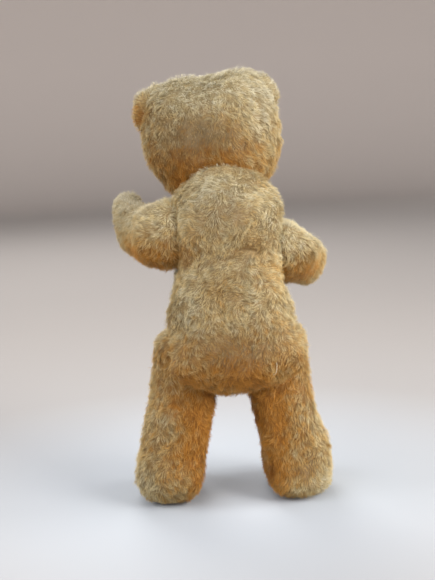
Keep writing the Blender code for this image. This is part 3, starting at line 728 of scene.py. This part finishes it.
def add_stitch(bm, cloth, start, end, radius, lift, sides=7, steps=7, dive=0.4 * MM):
    """One stitch of thread, proud of the cloth between the two holes it dives into."""
    path, ups = [], []
    for step in range(steps + 1):
        share = step / steps
        spot, up, _, _ = cloth.find_nearest(start.lerp(end, share))
        path.append(spot + up * (lift * math.sin(math.pi * share) ** 0.5 - dive))
        ups.append(up)
    rings = []
    for step, (spot, up) in enumerate(zip(path, ups)):
        run = (path[min(step + 1, steps)] - path[max(step - 1, 0)]).normalized()
        side = run.cross(up).normalized()
        over = side.cross(run)
        size = radius * (0.7 if step in (0, steps) else 1.0)
        rings.append([
            bm.verts.new(spot + (side * math.cos(turn) + over * math.sin(turn)) * size)
            for turn in (2 * math.pi * i / sides for i in range(sides))
        ])
    for one, other in zip(rings, rings[1:]):
        join_rings(bm, one, other)
    bm.faces.new(rings[0][::-1])
    bm.faces.new(rings[-1])


def glass_eye(side, cloth):
    """A domed glass eye, sunk a little into the face."""
    node = f"eye_{side}"
    spot, up, _, _ = cloth.find_nearest(middle_of(node))
    radius = (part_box(node)[1][2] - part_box(node)[0][2]) / 2 + 0.2 * MM
    bm = bmesh.new()
    bmesh.ops.create_uvsphere(bm, u_segments=48, v_segments=24, radius=radius)
    bmesh.ops.scale(bm, vec=(1, 1, 0.78), verts=bm.verts)
    place = Matrix.Translation(spot + up * 1.5 * MM) @ up.to_track_quat("Z", "Y").to_matrix().to_4x4()
    bmesh.ops.transform(bm, matrix=place, verts=bm.verts)
    return own_piece(finish_bmesh(bm, f"eye_{side}_glass"), amber_eye(spot, up), "head", "eye_glass", node)


def face_frame():
    """The middle of the nose, with the ways across and up the face."""
    across = (middle_of("eye_left") - middle_of("eye_right")).normalized()
    up = Vector((-across.z, 0, across.x))
    return middle_of("nose_stitching"), across, up


def nose_stitches(cloth):
    """A worn black nose in upright satin stitch, wide above and narrow below."""
    random = np.random.RandomState(51)
    middle, across, up = face_frame()
    bm = bmesh.new()
    count, half_width, height_above, height_below = 23, 8.6, 4.9, 5.6
    for i in range(count):
        out = (i / (count - 1) * 2 - 1) * half_width
        top = height_above * (1 - (abs(out) / 10.5) ** 3) + random.normal(0, 0.22)
        low = -height_below * (1 - (abs(out) / 9.6) ** 1.5) + random.normal(0, 0.25)
        lean = random.normal(0, 0.12)
        start = middle + (across * (out + lean) + up * top) * MM
        end = middle + (across * (out - lean) + up * low) * MM
        add_stitch(bm, cloth, start, end, 0.5 * MM, (1.5 + random.normal(0, 0.07)) * MM)
    return own_piece(finish_bmesh(bm, "nose_stitches"), BLACK_THREAD, "head", "thread", "nose_stitching")


def mouth_stitches(cloth):
    """A stitch down from the nose, and a shallow smile of two stitches each way."""
    middle, across, up = face_frame()

    def at(out, rise):
        return middle + (across * out + up * rise) * MM

    bm = bmesh.new()
    add_stitch(bm, cloth, at(0, -5.0), at(0.3, -15.2), 0.6 * MM, 1.1 * MM, steps=9)
    for side in (-1, 1):
        add_stitch(bm, cloth, at(side * 0.2, -15.2), at(side * 6.2, -13.9), 0.58 * MM, 1.1 * MM)
        add_stitch(bm, cloth, at(side * 5.6, -14.0), at(side * 11.2, -11.2), 0.55 * MM, 1.1 * MM)
    return own_piece(finish_bmesh(bm, "mouth_stitches"), BLACK_THREAD, "head", "thread", "mouth_stitching")


def loose_fibre(cloth):
    """One long pale fibre that lies upright across the pile, low on the right of the seat."""
    bm = bmesh.new()
    low, high = Vector((-0.0278, 0.08, 0.1045)), Vector((-0.0288, 0.08, 0.1175))
    add_stitch(bm, cloth, low, high, 0.16 * MM, 3.6 * MM, sides=5, steps=12)
    own_piece(finish_bmesh(bm, "loose_fibre"), PALE_FIBRE, "torso", "thread")


PAD_SHARES = (0.12, 0.25, 0.38, 0.5, 0.62, 0.73, 0.82, 0.89, 0.94, 0.975, 1.0)
PAD_AROUND = 56
WHIP_STITCHES = 34
LOOK_FROM = 30 * MM  # the pads look for the cloth under them from this far off
LOOK_REACH = 80 * MM
BELOW_FLOOR = -20 * MM
SOLE_HEIGHT = 4.4 * MM  # the sole ends where the foot has risen to this
UPWARD = Vector((0, 0, 1))


def soft_disc(name, edges, points_at):
    """A closed soft disc of rings from the middle out, on top and turned under. What points_at gives is the
    point on top and the point under it, at one share of the way to one edge."""
    bm = bmesh.new()
    upper, lower, rims = [], [], []
    for share in PAD_SHARES:
        pairs = [points_at(edge, share) for edge in edges]
        upper.append([top for top, _ in pairs])
        lower.append([under for _, under in pairs])
    for rings in (upper, lower):
        sheet = [[bm.verts.new(point) for point in ring] for ring in rings]
        bm.faces.new(sheet[0])
        for inner, outer in zip(sheet, sheet[1:]):
            join_rings(bm, inner, outer)
        rims.append(sheet[-1])
    join_rings(bm, *rims)
    return finish_bmesh(bm, name)


def oval_of_pad(node, arm):
    """The middle of a paw's CAD pad, its long and short ways, the way out of the paw, and its half sizes."""
    points = points_of(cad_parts[node].data)
    middle = points.mean(axis=0)
    ways = np.linalg.svd(points - middle, full_matrices=False)[2]
    half = np.abs((points - middle) @ ways.T).max(axis=0)
    long, short, out = (Vector(way) for way in ways)
    if out.dot(Vector(middle) - Vector(arm)) < 0:
        out.negate()
    return Vector(middle), long, short, out, half


def paw_pad(side, cloth, arm):
    """A felt pad laid over the paw, with its edge turned down and whipped round."""
    node = f"paw_pad_{side}"
    centre, long, short, out, half = oval_of_pad(node, arm)

    def rim_at(turn):
        return long * (half[0] * math.cos(turn)) + short * (half[1] * math.sin(turn))

    def points_at(flat, share):
        spot, normal, _, _ = cloth.ray_cast(centre + flat * share + out * LOOK_FROM, -out, LOOK_REACH)
        if spot is None:
            spot, normal, _, _ = cloth.find_nearest(centre + flat * share)
        top = spot + normal * (1.5 * (1 - share**9) ** 0.5 - 0.1) * MM
        return top, spot - normal * 0.5 * MM

    edges = [rim_at(2 * math.pi * i / PAD_AROUND) for i in range(PAD_AROUND)]
    pad = soft_disc(f"{node}_felt", edges, points_at)
    own_piece(pad, FELT, f"arm_{side}", "felt", node)
    bm = bmesh.new()
    felt = tree_of([pad])
    for i in range(WHIP_STITCHES):
        flat = rim_at(2 * math.pi * i / WHIP_STITCHES)
        add_stitch(bm, felt, centre + flat * 0.86, centre + flat * 1.03, 0.24 * MM, 0.75 * MM, 5, 4)
    own_piece(finish_bmesh(bm, f"{node}_stitches"), BROWN_THREAD, f"arm_{side}", "thread")
    return pad


def edge_of_sole(cloth, centre, half):
    """How far out the sole reaches each way: to where the foot is still near the floor, and eased."""
    edges = []
    for i in range(PAD_AROUND):
        turn = 2 * math.pi * i / PAD_AROUND
        way = Vector((half.x * math.cos(turn), half.y * math.sin(turn), 0))
        reach = 0.97
        while reach > 0.4:
            below = centre + way * reach + Vector((0, 0, BELOW_FLOOR))
            spot = cloth.ray_cast(below, UPWARD, 30 * MM)[0]
            if spot is not None and spot.z < SOLE_HEIGHT:
                break
            reach -= 0.02
        edges.append(way * reach)
    for _ in range(3):
        edges = [(edges[i - 1] + edges[i] * 2 + edges[(i + 1) % PAD_AROUND]) / 4 for i in range(PAD_AROUND)]
    return edges


def foot_pad(side, cloth):
    """A felt sole under the foot, a little inside the edge of the plush."""
    node = f"foot_pad_{side}"
    low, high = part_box(node)
    centre = middle_of(node)

    def points_at(edge, share):
        flat = centre + edge * share
        spot = cloth.ray_cast(Vector((flat.x, flat.y, BELOW_FLOOR)), UPWARD, 40 * MM)[0]
        roof = spot.z if spot is not None else 3.0 * MM
        rounded = (1 - share**10) ** 0.5
        top = Vector((flat.x, flat.y, roof + 0.4 * MM))
        return top, Vector((flat.x, flat.y, roof + 0.2 * MM - (roof - 0.1 * MM) * rounded))

    edges = edge_of_sole(cloth, centre, (Vector(high) - Vector(low)) / 2)
    return own_piece(soft_disc(f"{node}_felt", edges, points_at), FELT, f"leg_{side}", "felt", node)


# ---------------------------------------------------------------- pile

turn_broad = Waves(21, 40 * MM)
turn_fine = Waves(22, 11 * MM)
tone_broad = Waves(23, 40 * MM)
tone_tuft = Waves(24, 6 * MM)
height_tuft = Waves(25, 8 * MM)
parting = Waves(26, 6 * MM)
parting_broad = Waves(27, 30 * MM)

# The pile's two layers. A strand's faces run through its points in the order of its corners, each face begins
# at one of the places given, and each corner has its own place across and along the strand's colours
GUARD_HAIR = {
    "per_mm2": 1.25,
    "length": 1.0,
    "width": 1.0,
    "spread": 0.28,
    "stray": 0.14,
    "uneven": 0.2,
    "tufted": True,
    "corners": [0, 1, 3, 2, 2, 3, 4],
    "faces": [0, 4],
    "across": [-0.004, 0.004, 0.004, -0.004, -0.004, 0.004, 0.0],
    "along": [0.1, 0.1, 0.74, 0.74, 0.74, 0.74, 0.98],
}
UNDER_HAIR = {
    "per_mm2": 1.6,
    "length": 0.55,
    "width": 1.3,
    "spread": 0.5,
    "stray": 0.0,
    "uneven": 0.32,
    "tufted": False,
    "corners": [0, 1, 2],
    "faces": [0],
    "across": [-0.004, 0.004, 0.0],
    "along": [0.25, 0.25, 0.9],
}


def clip_at(points):
    """How much of its length the pile keeps: it is clipped on the muzzle and at the soles."""
    muzzle = near(points, np.array(MUZZLE), (0.026, 0.026, 0.022))
    sole = 1 - smooth(points[:, 2], 0.001, 0.006)
    return (1 - 0.5 * np.minimum(muzzle * 1.3, 1)) * (1 - 0.4 * sole)


def partings_at(points):
    """How far the strands have parted, 0 to 1, so that the shade between the tufts shows."""
    behind = 0.5 + 0.5 * smooth(points[:, 1], 0.0, 0.04)
    return smooth(parting(points) + 0.35 * parting_broad(points), 0.35, 1.3) * behind


def triangles_of(mesh):
    mesh.calc_loop_triangles()
    corners = np.empty(len(mesh.loop_triangles) * 3, dtype=np.int32)
    mesh.loop_triangles.foreach_get("vertices", corners)
    return corners.reshape(-1, 3)


def scatter(mesh, per_mm2, random, weight):
    """Random places on a cover with their normals, closer together where the weight is greater."""
    points, normals, corners = points_of(mesh), normals_of(mesh), triangles_of(mesh)
    a, b, c = points[corners[:, 0]], points[corners[:, 1]], points[corners[:, 2]]
    area = np.linalg.norm(np.cross(b - a, c - a), axis=1) / 2
    middle = (a + b + c) / 3
    wanted = area * weight(middle)
    count = int(wanted.sum() * 1e6 * per_mm2)
    picked = random.choice(len(area), size=count, p=wanted / wanted.sum())
    u, v = random.uniform(size=count), random.uniform(size=count)
    over = u + v > 1
    u[over], v[over] = 1 - u[over], 1 - v[over]
    shares = np.stack([1 - u - v, u, v], axis=1)[:, :, None]
    place = (points[corners[picked]] * shares).sum(axis=1)
    facing = unit((normals[corners[picked]] * shares).sum(axis=1))
    return place, facing


def room_around(places, others, within):
    """The distance from each place to what is nearest, and the nearest point and normal of that."""
    gap = np.full(len(places), 1.0)
    towards = np.zeros((len(places), 3))
    out = np.zeros((len(places), 3))
    for i, place in enumerate(places):
        found, normal, _, distance = others.find_nearest(place, within)
        if found is not None:
            gap[i] = distance
            towards[i] = found
            out[i] = normal
    return gap, towards, out


def lie_along(facing, lie, angle):
    """The direction across the surface nearest to lie, turned by an angle about the surface's normal."""
    lie = lie - facing * (lie * facing).sum(axis=1, keepdims=True)
    lie = unit(lie + 1e-4)
    side = np.cross(facing, lie)
    return lie * np.cos(angle)[:, None] + side * np.sin(angle)[:, None]


def tufts_over(cover, random, keep, lie, swirl, length):
    """Where the tips of each tuft draw together, found by the root of a strand."""
    roots, facing = scatter(cover.data, 1e-6 / TUFT_SPACING**2, random, keep)
    angle = swirl * turn_broad(roots) + 0.6 * turn_fine(roots) + random.normal(0, 0.3, len(roots))
    way = lie_along(facing, lie(roots), angle)
    lift = PILE_HEIGHT * length * random.uniform(0.7, 1.15, len(roots))
    tips = roots + way * (PILE_LENGTH * length * 0.8) + facing * lift[:, None]
    tree = kdtree.KDTree(len(roots))
    for i, place in enumerate(roots):
        tree.insert(place, i)
    tree.balance()
    return tree, tips


def clear_of_others(places, gap, near_other, other_out):
    """Moves places out of the neighbouring cover, and up off the floor."""
    inside = ((places - near_other) * other_out).sum(axis=1)
    short = np.where(gap < TOUCHING_REACH, np.maximum(0.3 * MM - inside, 0), 0)
    places += other_out * short[:, None]
    places[:, 2] = np.maximum(places[:, 2], FLOOR_CLEARANCE)


def roots_on(cover, random, per_mm2, keep, bare):
    """Where the strands stand: fewer where the plush is rubbed or creased, and none at a sewn-on piece."""

    def weight(places):
        return keep(places) * (1 - 0.45 * wear_at(places)) * (1 - 0.95 * crease_at(places))

    roots, facing = scatter(cover.data, per_mm2, random, weight)
    beside = room_around(roots, bare, SEWN_ON_REACH)[0] if bare else np.full(len(roots), 1.0)
    free = beside > BARE_EDGE
    return roots[free], facing[free], beside[free]


def reach_and_height(roots, hair, random, length, stray, gap, beside, meeting):
    """How far each strand runs along the cover, and how high it stands off it."""
    count = len(roots)
    thin = length * (1 - 0.5 * wear_at(roots)) * hair["length"]
    reach = PILE_LENGTH * thin * random.uniform(0.7, 1.25, count) * np.where(stray, 1.15, 1.0)
    height = PILE_HEIGHT * thin * np.where(stray, 1.45, 1.0)
    height *= np.clip(0.86 + 0.3 * height_tuft(roots) + random.normal(0, 0.16, count), 0.3, 1.6)
    height = np.minimum(height, np.maximum(gap * 0.95, (1.4 + 2.6 * meeting) * MM))
    reach = np.minimum(reach, np.maximum(gap * 3, (5.2 + 2.0 * meeting) * MM))
    clipped = 1 - 0.55 * (1 - smooth(beside, 1.5 * MM, 6 * MM))
    reach *= clipped * clip_at(roots)
    height *= clipped * clip_at(roots)
    height *= (1 - 0.6 * crease_at(roots)) * (1 - 0.45 * partings_at(roots))
    reach *= 1 - 0.6 * crease_at(roots - np.array((0, 0, 3.2 * MM)))
    return reach, height


def shade_and_brightness(cover, roots, facing, hair, random, stray, gap):
    """Each strand's tone from amber to straw, and how light it is."""
    count = len(roots)
    worn = wear_at(roots)
    creased = crease_at(roots)
    # The tone carries the fade map's painted light and shade, and painted shade in the crease
    shade = (
        0.03
        + 0.93 * bleach_and_painted_light_at(roots, facing, is_of_head(cover))
        + 0.06 * tone_broad(roots)
        + 0.1 * tone_tuft(roots)
        + random.normal(0, 0.07, count)
        + 0.1 * stray
        - 0.1 * worn
        - 0.2 * creased
    )
    # Painted shade darkens the strands in the crease and in the partings between the tufts
    bright = (1.0 - 0.3 * worn) * (1 - 0.9 * creased) * (1 - 0.6 * partings_at(roots))
    # Painted highlights on the flanks, the seat's bottom, the outsides of the legs and the right heel;
    # darkening by dirt on the rubbed patches, and painted shade under the seat and on the raised forearm
    bright *= (1 + patches_at(roots, PAINTED_HIGHLIGHTS)) * (1 - patches_at(roots, DIRT_AND_SHADE))
    bright *= 1 - hair["uneven"] * random.uniform(size=count)
    # Low behind, where a leg and the body meet, the leg is shaded and the body's edge catches the light
    joining = 1 - smooth(gap, 3 * MM, 12 * MM)
    joining *= smooth(-roots[:, 2], -0.150, -0.135) * smooth(roots[:, 1], 0.03, 0.04)
    if cover.name.startswith("leg"):
        shade -= 0.14 * joining
        bright *= 1 - 0.4 * joining
    elif cover.name.startswith("torso"):
        shade += 0.14 * joining
        bright *= 1 + 0.15 * joining
    return np.clip(shade, 0.02, 0.98), np.where(stray, 1.0, bright)


def strands_over(cover, random, hair, lie, others, length, keep, swirl, bare):
    """One layer of the pile: each strand's points and its half width, with its normal and its colours."""
    roots, facing, beside = roots_on(cover, random, hair["per_mm2"], keep, bare)
    count = len(roots)
    gap, near_other, other_out = room_around(roots, others, NEIGHBOUR_REACH)
    angle = swirl * turn_broad(roots) + 0.5 * turn_fine(roots) + random.normal(0, hair["spread"], count)
    way = lie_along(facing, lie(roots), angle)
    bend = random.normal(0, 0.45, count) + 0.5 * turn_fine(roots[:, ::-1])
    stray = random.uniform(size=count) < hair["stray"]
    bend[stray] *= 2
    later = lie_along(facing, way, bend)
    meeting = patches_at(roots, MEETING)
    reach, height = reach_and_height(roots, hair, random, length, stray, gap, beside, meeting)

    middle = roots + way * (reach * 0.42)[:, None] + facing * (height * 0.78)[:, None]
    tip = roots + (way * 0.5 + later * 0.5) * (reach * 0.92)[:, None] + facing * (height * 0.95)[:, None]
    if hair["tufted"]:
        tree, tuft_tips = tufts_over(cover, random, keep, lie, swirl, length)
        mine = tuft_tips[np.array([tree.find(place)[1] for place in roots])]
        pull = (random.uniform(0.0, 0.4, count) * np.clip(gap / (9 * MM) - 0.3, 0, 1))[:, None]
        tip += (mine - tip) * pull
        middle += (mine - middle) * pull * 0.25
    start = roots - facing * ROOT_DEPTH
    start[:, 2] = np.maximum(start[:, 2], FLOOR_CLEARANCE)
    clear_of_others(middle, gap, near_other, other_out)
    clear_of_others(tip, gap, near_other, other_out)

    shade, bright = shade_and_brightness(cover, roots, facing, hair, random, stray, gap)
    width = STRAND_WIDTH / 2 * random.uniform(0.7, 1.3, count) * np.where(stray, 0.6, hair["width"])
    run = unit(tip - start)
    side = unit(np.cross(run, facing))
    twist = random.normal(0, 0.4, count)
    side = side * np.cos(twist)[:, None] + np.cross(run, side) * np.sin(twist)[:, None]
    return {
        "hair": hair,
        "start": start,
        "middle": middle,
        "tip": tip,
        "side": side * width[:, None],
        "normal": unit(facing + 0.3 * unit(np.cross(side, run))),
        "shade": shade,
        "bright": bright,
        # Painted light: strands lightened where an arm meets the body, over the shade in the groove
        "painted_light": meeting * (1 - smooth(gap, 4 * MM, 13 * MM)),
    }


def points_of_layer(layer):
    """Each strand's points: two at its root, two half-way along a guard hair, and one at its tip."""
    start, side = layer["start"], layer["side"]
    if layer["hair"] is GUARD_HAIR:
        middle = layer["middle"]
        rows = [start - side * 0.9, start + side * 0.9, middle - side, middle + side, layer["tip"]]
    else:
        rows = [start - side, start + side, layer["tip"]]
    points = np.stack(rows, axis=1)
    points[:, :, 2] = np.maximum(points[:, :, 2], FLOOR_CLEARANCE)
    return points


def colours_of_layer(layer):
    """Each corner's place on the colour map: its tone across, and how light it is along."""
    across, along = np.array(layer["hair"]["across"]), np.array(layer["hair"]["along"])
    places = np.empty((len(layer["start"]), len(along), 2))
    places[:, :, 0] = layer["shade"][:, None] + across
    places[:, :, 1] = along * np.where(along > 0.3, layer["bright"][:, None], 1.0)
    # Painted light lifts the strands towards their tip colour in the groove where an arm meets the body
    places[:, :, 1] += layer["painted_light"][:, None] * (0.95 - places[:, :, 1]) * 0.75
    places[:, :, 1] = np.minimum(places[:, :, 1], 0.98)
    return places


def mesh_of_layers(name, layers):
    """Every strand of the layers as one mesh, with its colours and normals."""
    corners, loops, loop_starts, colours, normals = [], [], [], [], []
    first, first_loop = 0, 0
    for layer in layers:
        points, order = points_of_layer(layer), layer["hair"]["corners"]
        count, each = points.shape[:2]
        strands = np.arange(count)[:, None]
        corners.append(points.reshape(-1, 3))
        normals.append(np.repeat(layer["normal"], each, axis=0))
        loops.append((first + strands * each + np.array([order])).ravel())
        loop_starts.append((first_loop + strands * len(order) + np.array([layer["hair"]["faces"]])).ravel())
        colours.append(colours_of_layer(layer).reshape(-1, 2))
        first += count * each
        first_loop += count * len(order)
    corners, loops, loop_starts = (np.concatenate(rows) for rows in (corners, loops, loop_starts))
    mesh = bpy.data.meshes.new(name)
    mesh.vertices.add(len(corners))
    mesh.vertices.foreach_set("co", corners.astype(np.float32).ravel())
    mesh.loops.add(len(loops))
    mesh.loops.foreach_set("vertex_index", loops.astype(np.int32))
    mesh.polygons.add(len(loop_starts))
    mesh.polygons.foreach_set("loop_start", loop_starts.astype(np.int32))
    mesh.update(calc_edges=True)
    colours = np.concatenate(colours).astype(np.float32).ravel()
    mesh.uv_layers.new(name="OFBake").data.foreach_set("uv", colours)
    mesh.shade_smooth()
    mesh.normals_split_custom_set_from_vertices(np.concatenate(normals))
    return mesh


def everywhere(places):
    return np.ones(len(places))


def grow_pile(name, cover, body, seed, lie, others, length=1.0, keep=everywhere, swirl=0.6, bare=None):
    """Mohair over a cover: guard hair that leans with its tuft, and short under hair."""
    random = np.random.RandomState(seed)
    layers = [
        strands_over(cover, random, hair, lie, others, length, keep, swirl, bare)
        for hair in (GUARD_HAIR, UNDER_HAIR)
    ]
    own_piece(new_object(name, mesh_of_layers(name, layers)), PILE, body, "mohair")


# ---------------------------------------------------------------- build

PILE = mohair_pile()
CLOTH = backing_cloth()
FELT = wool_felt("tan wool felt", (0.22, 0.13, 0.06), (0.40, 0.27, 0.15), (0.55, 0.5, 0.45))
BLACK_THREAD = cotton_thread("black cotton thread", (0.006, 0.005, 0.004), (0.03, 0.026, 0.022))
PALE_FIBRE = cotton_thread("bleached mohair fibre", (0.72, 0.62, 0.42), (0.85, 0.78, 0.6))
BROWN_THREAD = cotton_thread("brown cotton thread", (0.07, 0.035, 0.015), (0.16, 0.09, 0.04))

# Each cover: its solids, its body, its voxel in millimetres, its rounds of easing and its fill
TORSO_DISCS = [
    f"{joint}_disc_in_torso"
    for joint in ("neck", "left_shoulder", "right_shoulder", "left_hip", "right_hip")
]
COVERS = {
    "torso_cover": (["torso_skin", "torso_stuffing", *TORSO_DISCS], "torso", 2.5, 7, 0.75),
    "head_cover": (["head_skin", "head_stuffing", "neck_disc_in_head"], "head", 2.4, 9, 0.85),
}
for limb, joint, voxel, rounds, fill in (("arm", "shoulder", 2.2, 8, 0.7), ("leg", "hip", 2.4, 9, 0.75)):
    for side in ("left", "right"):
        part = f"{limb}_{side}"
        solids = [f"{part}_skin", f"{part}_stuffing", f"{side}_{joint}_disc_in_{limb}"]
        COVERS[f"{part}_cover"] = (solids, part, voxel, rounds, fill)
for side in ("left", "right"):
    COVERS[f"ear_{side}_cover"] = ([f"ear_{side}"], "head", 1.2, 3, 0.2)

covers = {}
for name, (solids, body, voxel, rounds, fill) in COVERS.items():
    covers[name] = soft_cover(name, solids, voxel * MM, rounds)
    for change in SHAPING[name]:
        sculpt(covers[name], change)

for name, (solids, body, voxel, rounds, fill) in COVERS.items():
    cover = covers[name]
    add_wear(cover)
    own_piece(cover, CLOTH, body, "mohair", *[node for node in solids if "_disc_" not in node])

face_cloth = tree_of([covers["head_cover"]])
face = [
    glass_eye("left", face_cloth),
    glass_eye("right", face_cloth),
    nose_stitches(face_cloth),
    mouth_stitches(face_cloth),
]
loose_fibre(tree_of([covers["torso_cover"]]))
pads = {}
for side in ("left", "right"):
    arm = covers[f"arm_{side}_cover"]
    pads[f"arm_{side}"] = paw_pad(side, tree_of([arm]), points_of(arm.data).mean(axis=0))
    pads[f"leg_{side}"] = foot_pad(side, tree_of([covers[f"leg_{side}_cover"]]))


def others_than(*names):
    return tree_of([cover for name, cover in covers.items() if name not in names])


def downward(places):
    return np.tile((0.0, 0.0, -1.0), (len(places), 1))


def towards_paw(places):
    return np.tile((0.0, -0.55, -0.85), (len(places), 1))


def over_back(places):
    """Down the body, and outward over the shoulders."""
    x, _, z = places.T
    outward = np.sign(x) * smooth(np.abs(x), 0.012, 0.034) * smooth(z, 0.185, 0.21) * 0.9
    return np.stack([outward, np.zeros(len(places)), np.full(len(places), -1.0)], axis=1)


def over_head(places):
    """Back and down over the head, swept to the bear's right behind and towards the nose in front."""
    x, y, _ = places.T
    behind = smooth(y, -0.02, 0.02)
    sweep = -0.25 - 0.4 * smooth(-x, -0.025, 0.015)
    back = 0.25 * behind - 0.45 * (1 - behind)
    return np.stack([sweep * behind, back, np.full(len(places), -0.8)], axis=1)


def from_skull(places):
    return unit(places - np.array(SKULL))


def on_back(places):
    return (places[:, 1] > BACK_BEGINS).astype(float)


def on_front(places):
    return (places[:, 1] <= BACK_BEGINS).astype(float)


torso = covers["torso_cover"]
torso_room = others_than("torso_cover")
grow_pile("torso_pile_back", torso, "torso", 101, over_back, torso_room, keep=on_back, swirl=1.0)
grow_pile("torso_pile_front", torso, "torso", 102, over_back, torso_room, keep=on_front)
head_room = others_than("head_cover", "ear_left_cover", "ear_right_cover")
grow_pile(
    "head_pile", covers["head_cover"], "head", 103, over_head, head_room, swirl=0.3, bare=tree_of(face)
)
for side, seed in (("left", 110), ("right", 120)):
    arm, leg, ear = f"arm_{side}", f"leg_{side}", f"ear_{side}"
    for part, part_seed, lie in ((arm, seed + 1, towards_paw), (leg, seed + 2, downward)):
        room = others_than(f"{part}_cover")
        bare = tree_of([pads[part]])
        grow_pile(f"{part}_pile", covers[f"{part}_cover"], part, part_seed, lie, room, bare=bare)
    grow_pile(f"{ear}_pile", covers[f"{ear}_cover"], "head", seed + 3, from_skull, head_room, length=0.7)


# ---------------------------------------------------------------- carried-over pieces

BOARD = raw_hardboard()
STEEL = dull_steel()
for name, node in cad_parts.items():
    if "_disc_" in name:
        finish = BOARD
    elif "_washer_" in name or name.endswith("_pin"):
        finish = STEEL
    else:
        continue
    for index in range(len(node.material_slots)):
        node.material_slots[index].material = finish


# ---------------------------------------------------------------- stage


def studio_floor():
    """A round pale floor that sweeps up far out all round, cooler about the bear and warmer further off. Its
    colour holds painted light: a cool pale pool about the bear, darker under the key lamp against its hot
    spot, and paler far out, where the lamps' light falls off.
    """
    profile = [(0.4, 0.0), (1.2, 0.0), (3.0, 0.0)]
    for step in range(1, 13):
        turn = math.radians(90 * step / 12)
        profile.append((3.0 + 1.2 * math.sin(turn), 1.2 - 1.2 * math.cos(turn)))
    profile.append((4.2, 4.0))
    bm = bmesh.new()
    line = [bm.verts.new((radius, 0, height)) for radius, height in profile]
    steps = [bm.edges.new(pair) for pair in zip(line, line[1:])]
    bmesh.ops.spin(
        bm, geom=line + steps, cent=(0, 0, 0), axis=UPWARD, angle=2 * math.pi, steps=96, use_merge=True
    )
    inmost = [edge for edge in bm.edges if edge.is_boundary and edge.verts[0].co.length < 1.0]
    bmesh.ops.contextual_create(bm, geom=inmost)
    floor = finish_bmesh(bm, "floor")
    material, tree, shader = new_material("pale floor")
    distance = add_node(tree, "ShaderNodeVectorMath", {0: own_coordinates(tree)}, operation="LENGTH")
    spread = add_node(tree, "ShaderNodeMapRange", {"Value": distance.outputs["Value"], "From Max": 4.0})
    stops = [
        (0.035, (0.43, 0.465, 0.51)),
        (0.085, (0.35, 0.325, 0.31)),
        (0.25, (0.27, 0.25, 0.24)),
        (0.55, (0.27, 0.25, 0.24)),
        (0.75, (0.45, 0.41, 0.385)),
        (1.0, (0.70, 0.63, 0.59)),
    ]
    feed(shader, {"Base Color": ramp(tree, stops, spread.outputs["Result"]), "Roughness": 0.9})
    floor.data.materials.append(material)


def soft_lamp(name, place, target, size, power, colour):
    """A round lamp turned towards its target."""
    light = bpy.data.lights.new(name, "AREA")
    light.shape = "DISK"
    light.size = size
    light.energy = power
    light.color = colour
    lamp = bpy.data.objects.new(name, light)
    lamp.location = place
    aim = Vector(target) - Vector(place)
    lamp.rotation_euler = aim.to_track_quat("-Z", "Y").to_euler()
    scene.collection.objects.link(lamp)


def add_camera():
    """Behind the bear, a little to its left and just above its middle, leaning a little."""
    target = Vector((0, 0.035, 0.165))
    azimuth, height, distance = math.radians(5), math.radians(9), 0.85
    away = Vector((
        math.sin(azimuth) * math.cos(height),
        math.cos(azimuth) * math.cos(height),
        math.sin(height),
    ))
    camera = bpy.data.cameras.new("camera")
    camera.sensor_fit = "VERTICAL"
    camera.sensor_height = 24
    camera.lens = 46.8
    camera.shift_x = -0.02
    holder = bpy.data.objects.new("camera", camera)
    holder.location = target + away * distance
    turn = (-away).to_track_quat("-Z", "Y").to_matrix() @ Matrix.Rotation(math.radians(-2.3), 3, "Z")
    holder.rotation_euler = turn.to_euler()
    scene.collection.objects.link(holder)
    scene.camera = holder


def dim_world():
    """An even, faintly cool light all round."""
    world = bpy.data.worlds.new("studio")
    world.use_nodes = True
    feed(world.node_tree.nodes["Background"], {"Color": (0.95, 0.97, 1.0, 1), "Strength": 0.5})
    scene.world = world


# Each lamp: its name, its place, what it is turned towards, its size, its power and its colour
LAMPS = [
    ("key", (-1.4, 1.35, 1.06), (0, 0.03, 0.15), 1.2, 47, (1.0, 0.97, 0.93)),
    ("sky", (1.05, 1.3, 1.1), (0, 0.03, 0.15), 1.3, 15, (0.94, 0.97, 1.0)),
    ("right side", (-1.75, 0.3, 1.08), (0, 0.03, 0.13), 1.3, 25, (1.0, 0.98, 0.95)),
    ("left side", (1.7, 0.3, 1.2), (0, 0.03, 0.15), 1.3, 21, (0.98, 0.98, 1.0)),
    ("front", (0.3, -1.6, 1.35), (0, 0.03, 0.17), 1.3, 27, (1.0, 0.98, 0.95)),
]

studio_floor()
for lamp in LAMPS:
    soft_lamp(*lamp)
dim_world()
scene.view_settings.view_transform = "Standard"
add_camera()
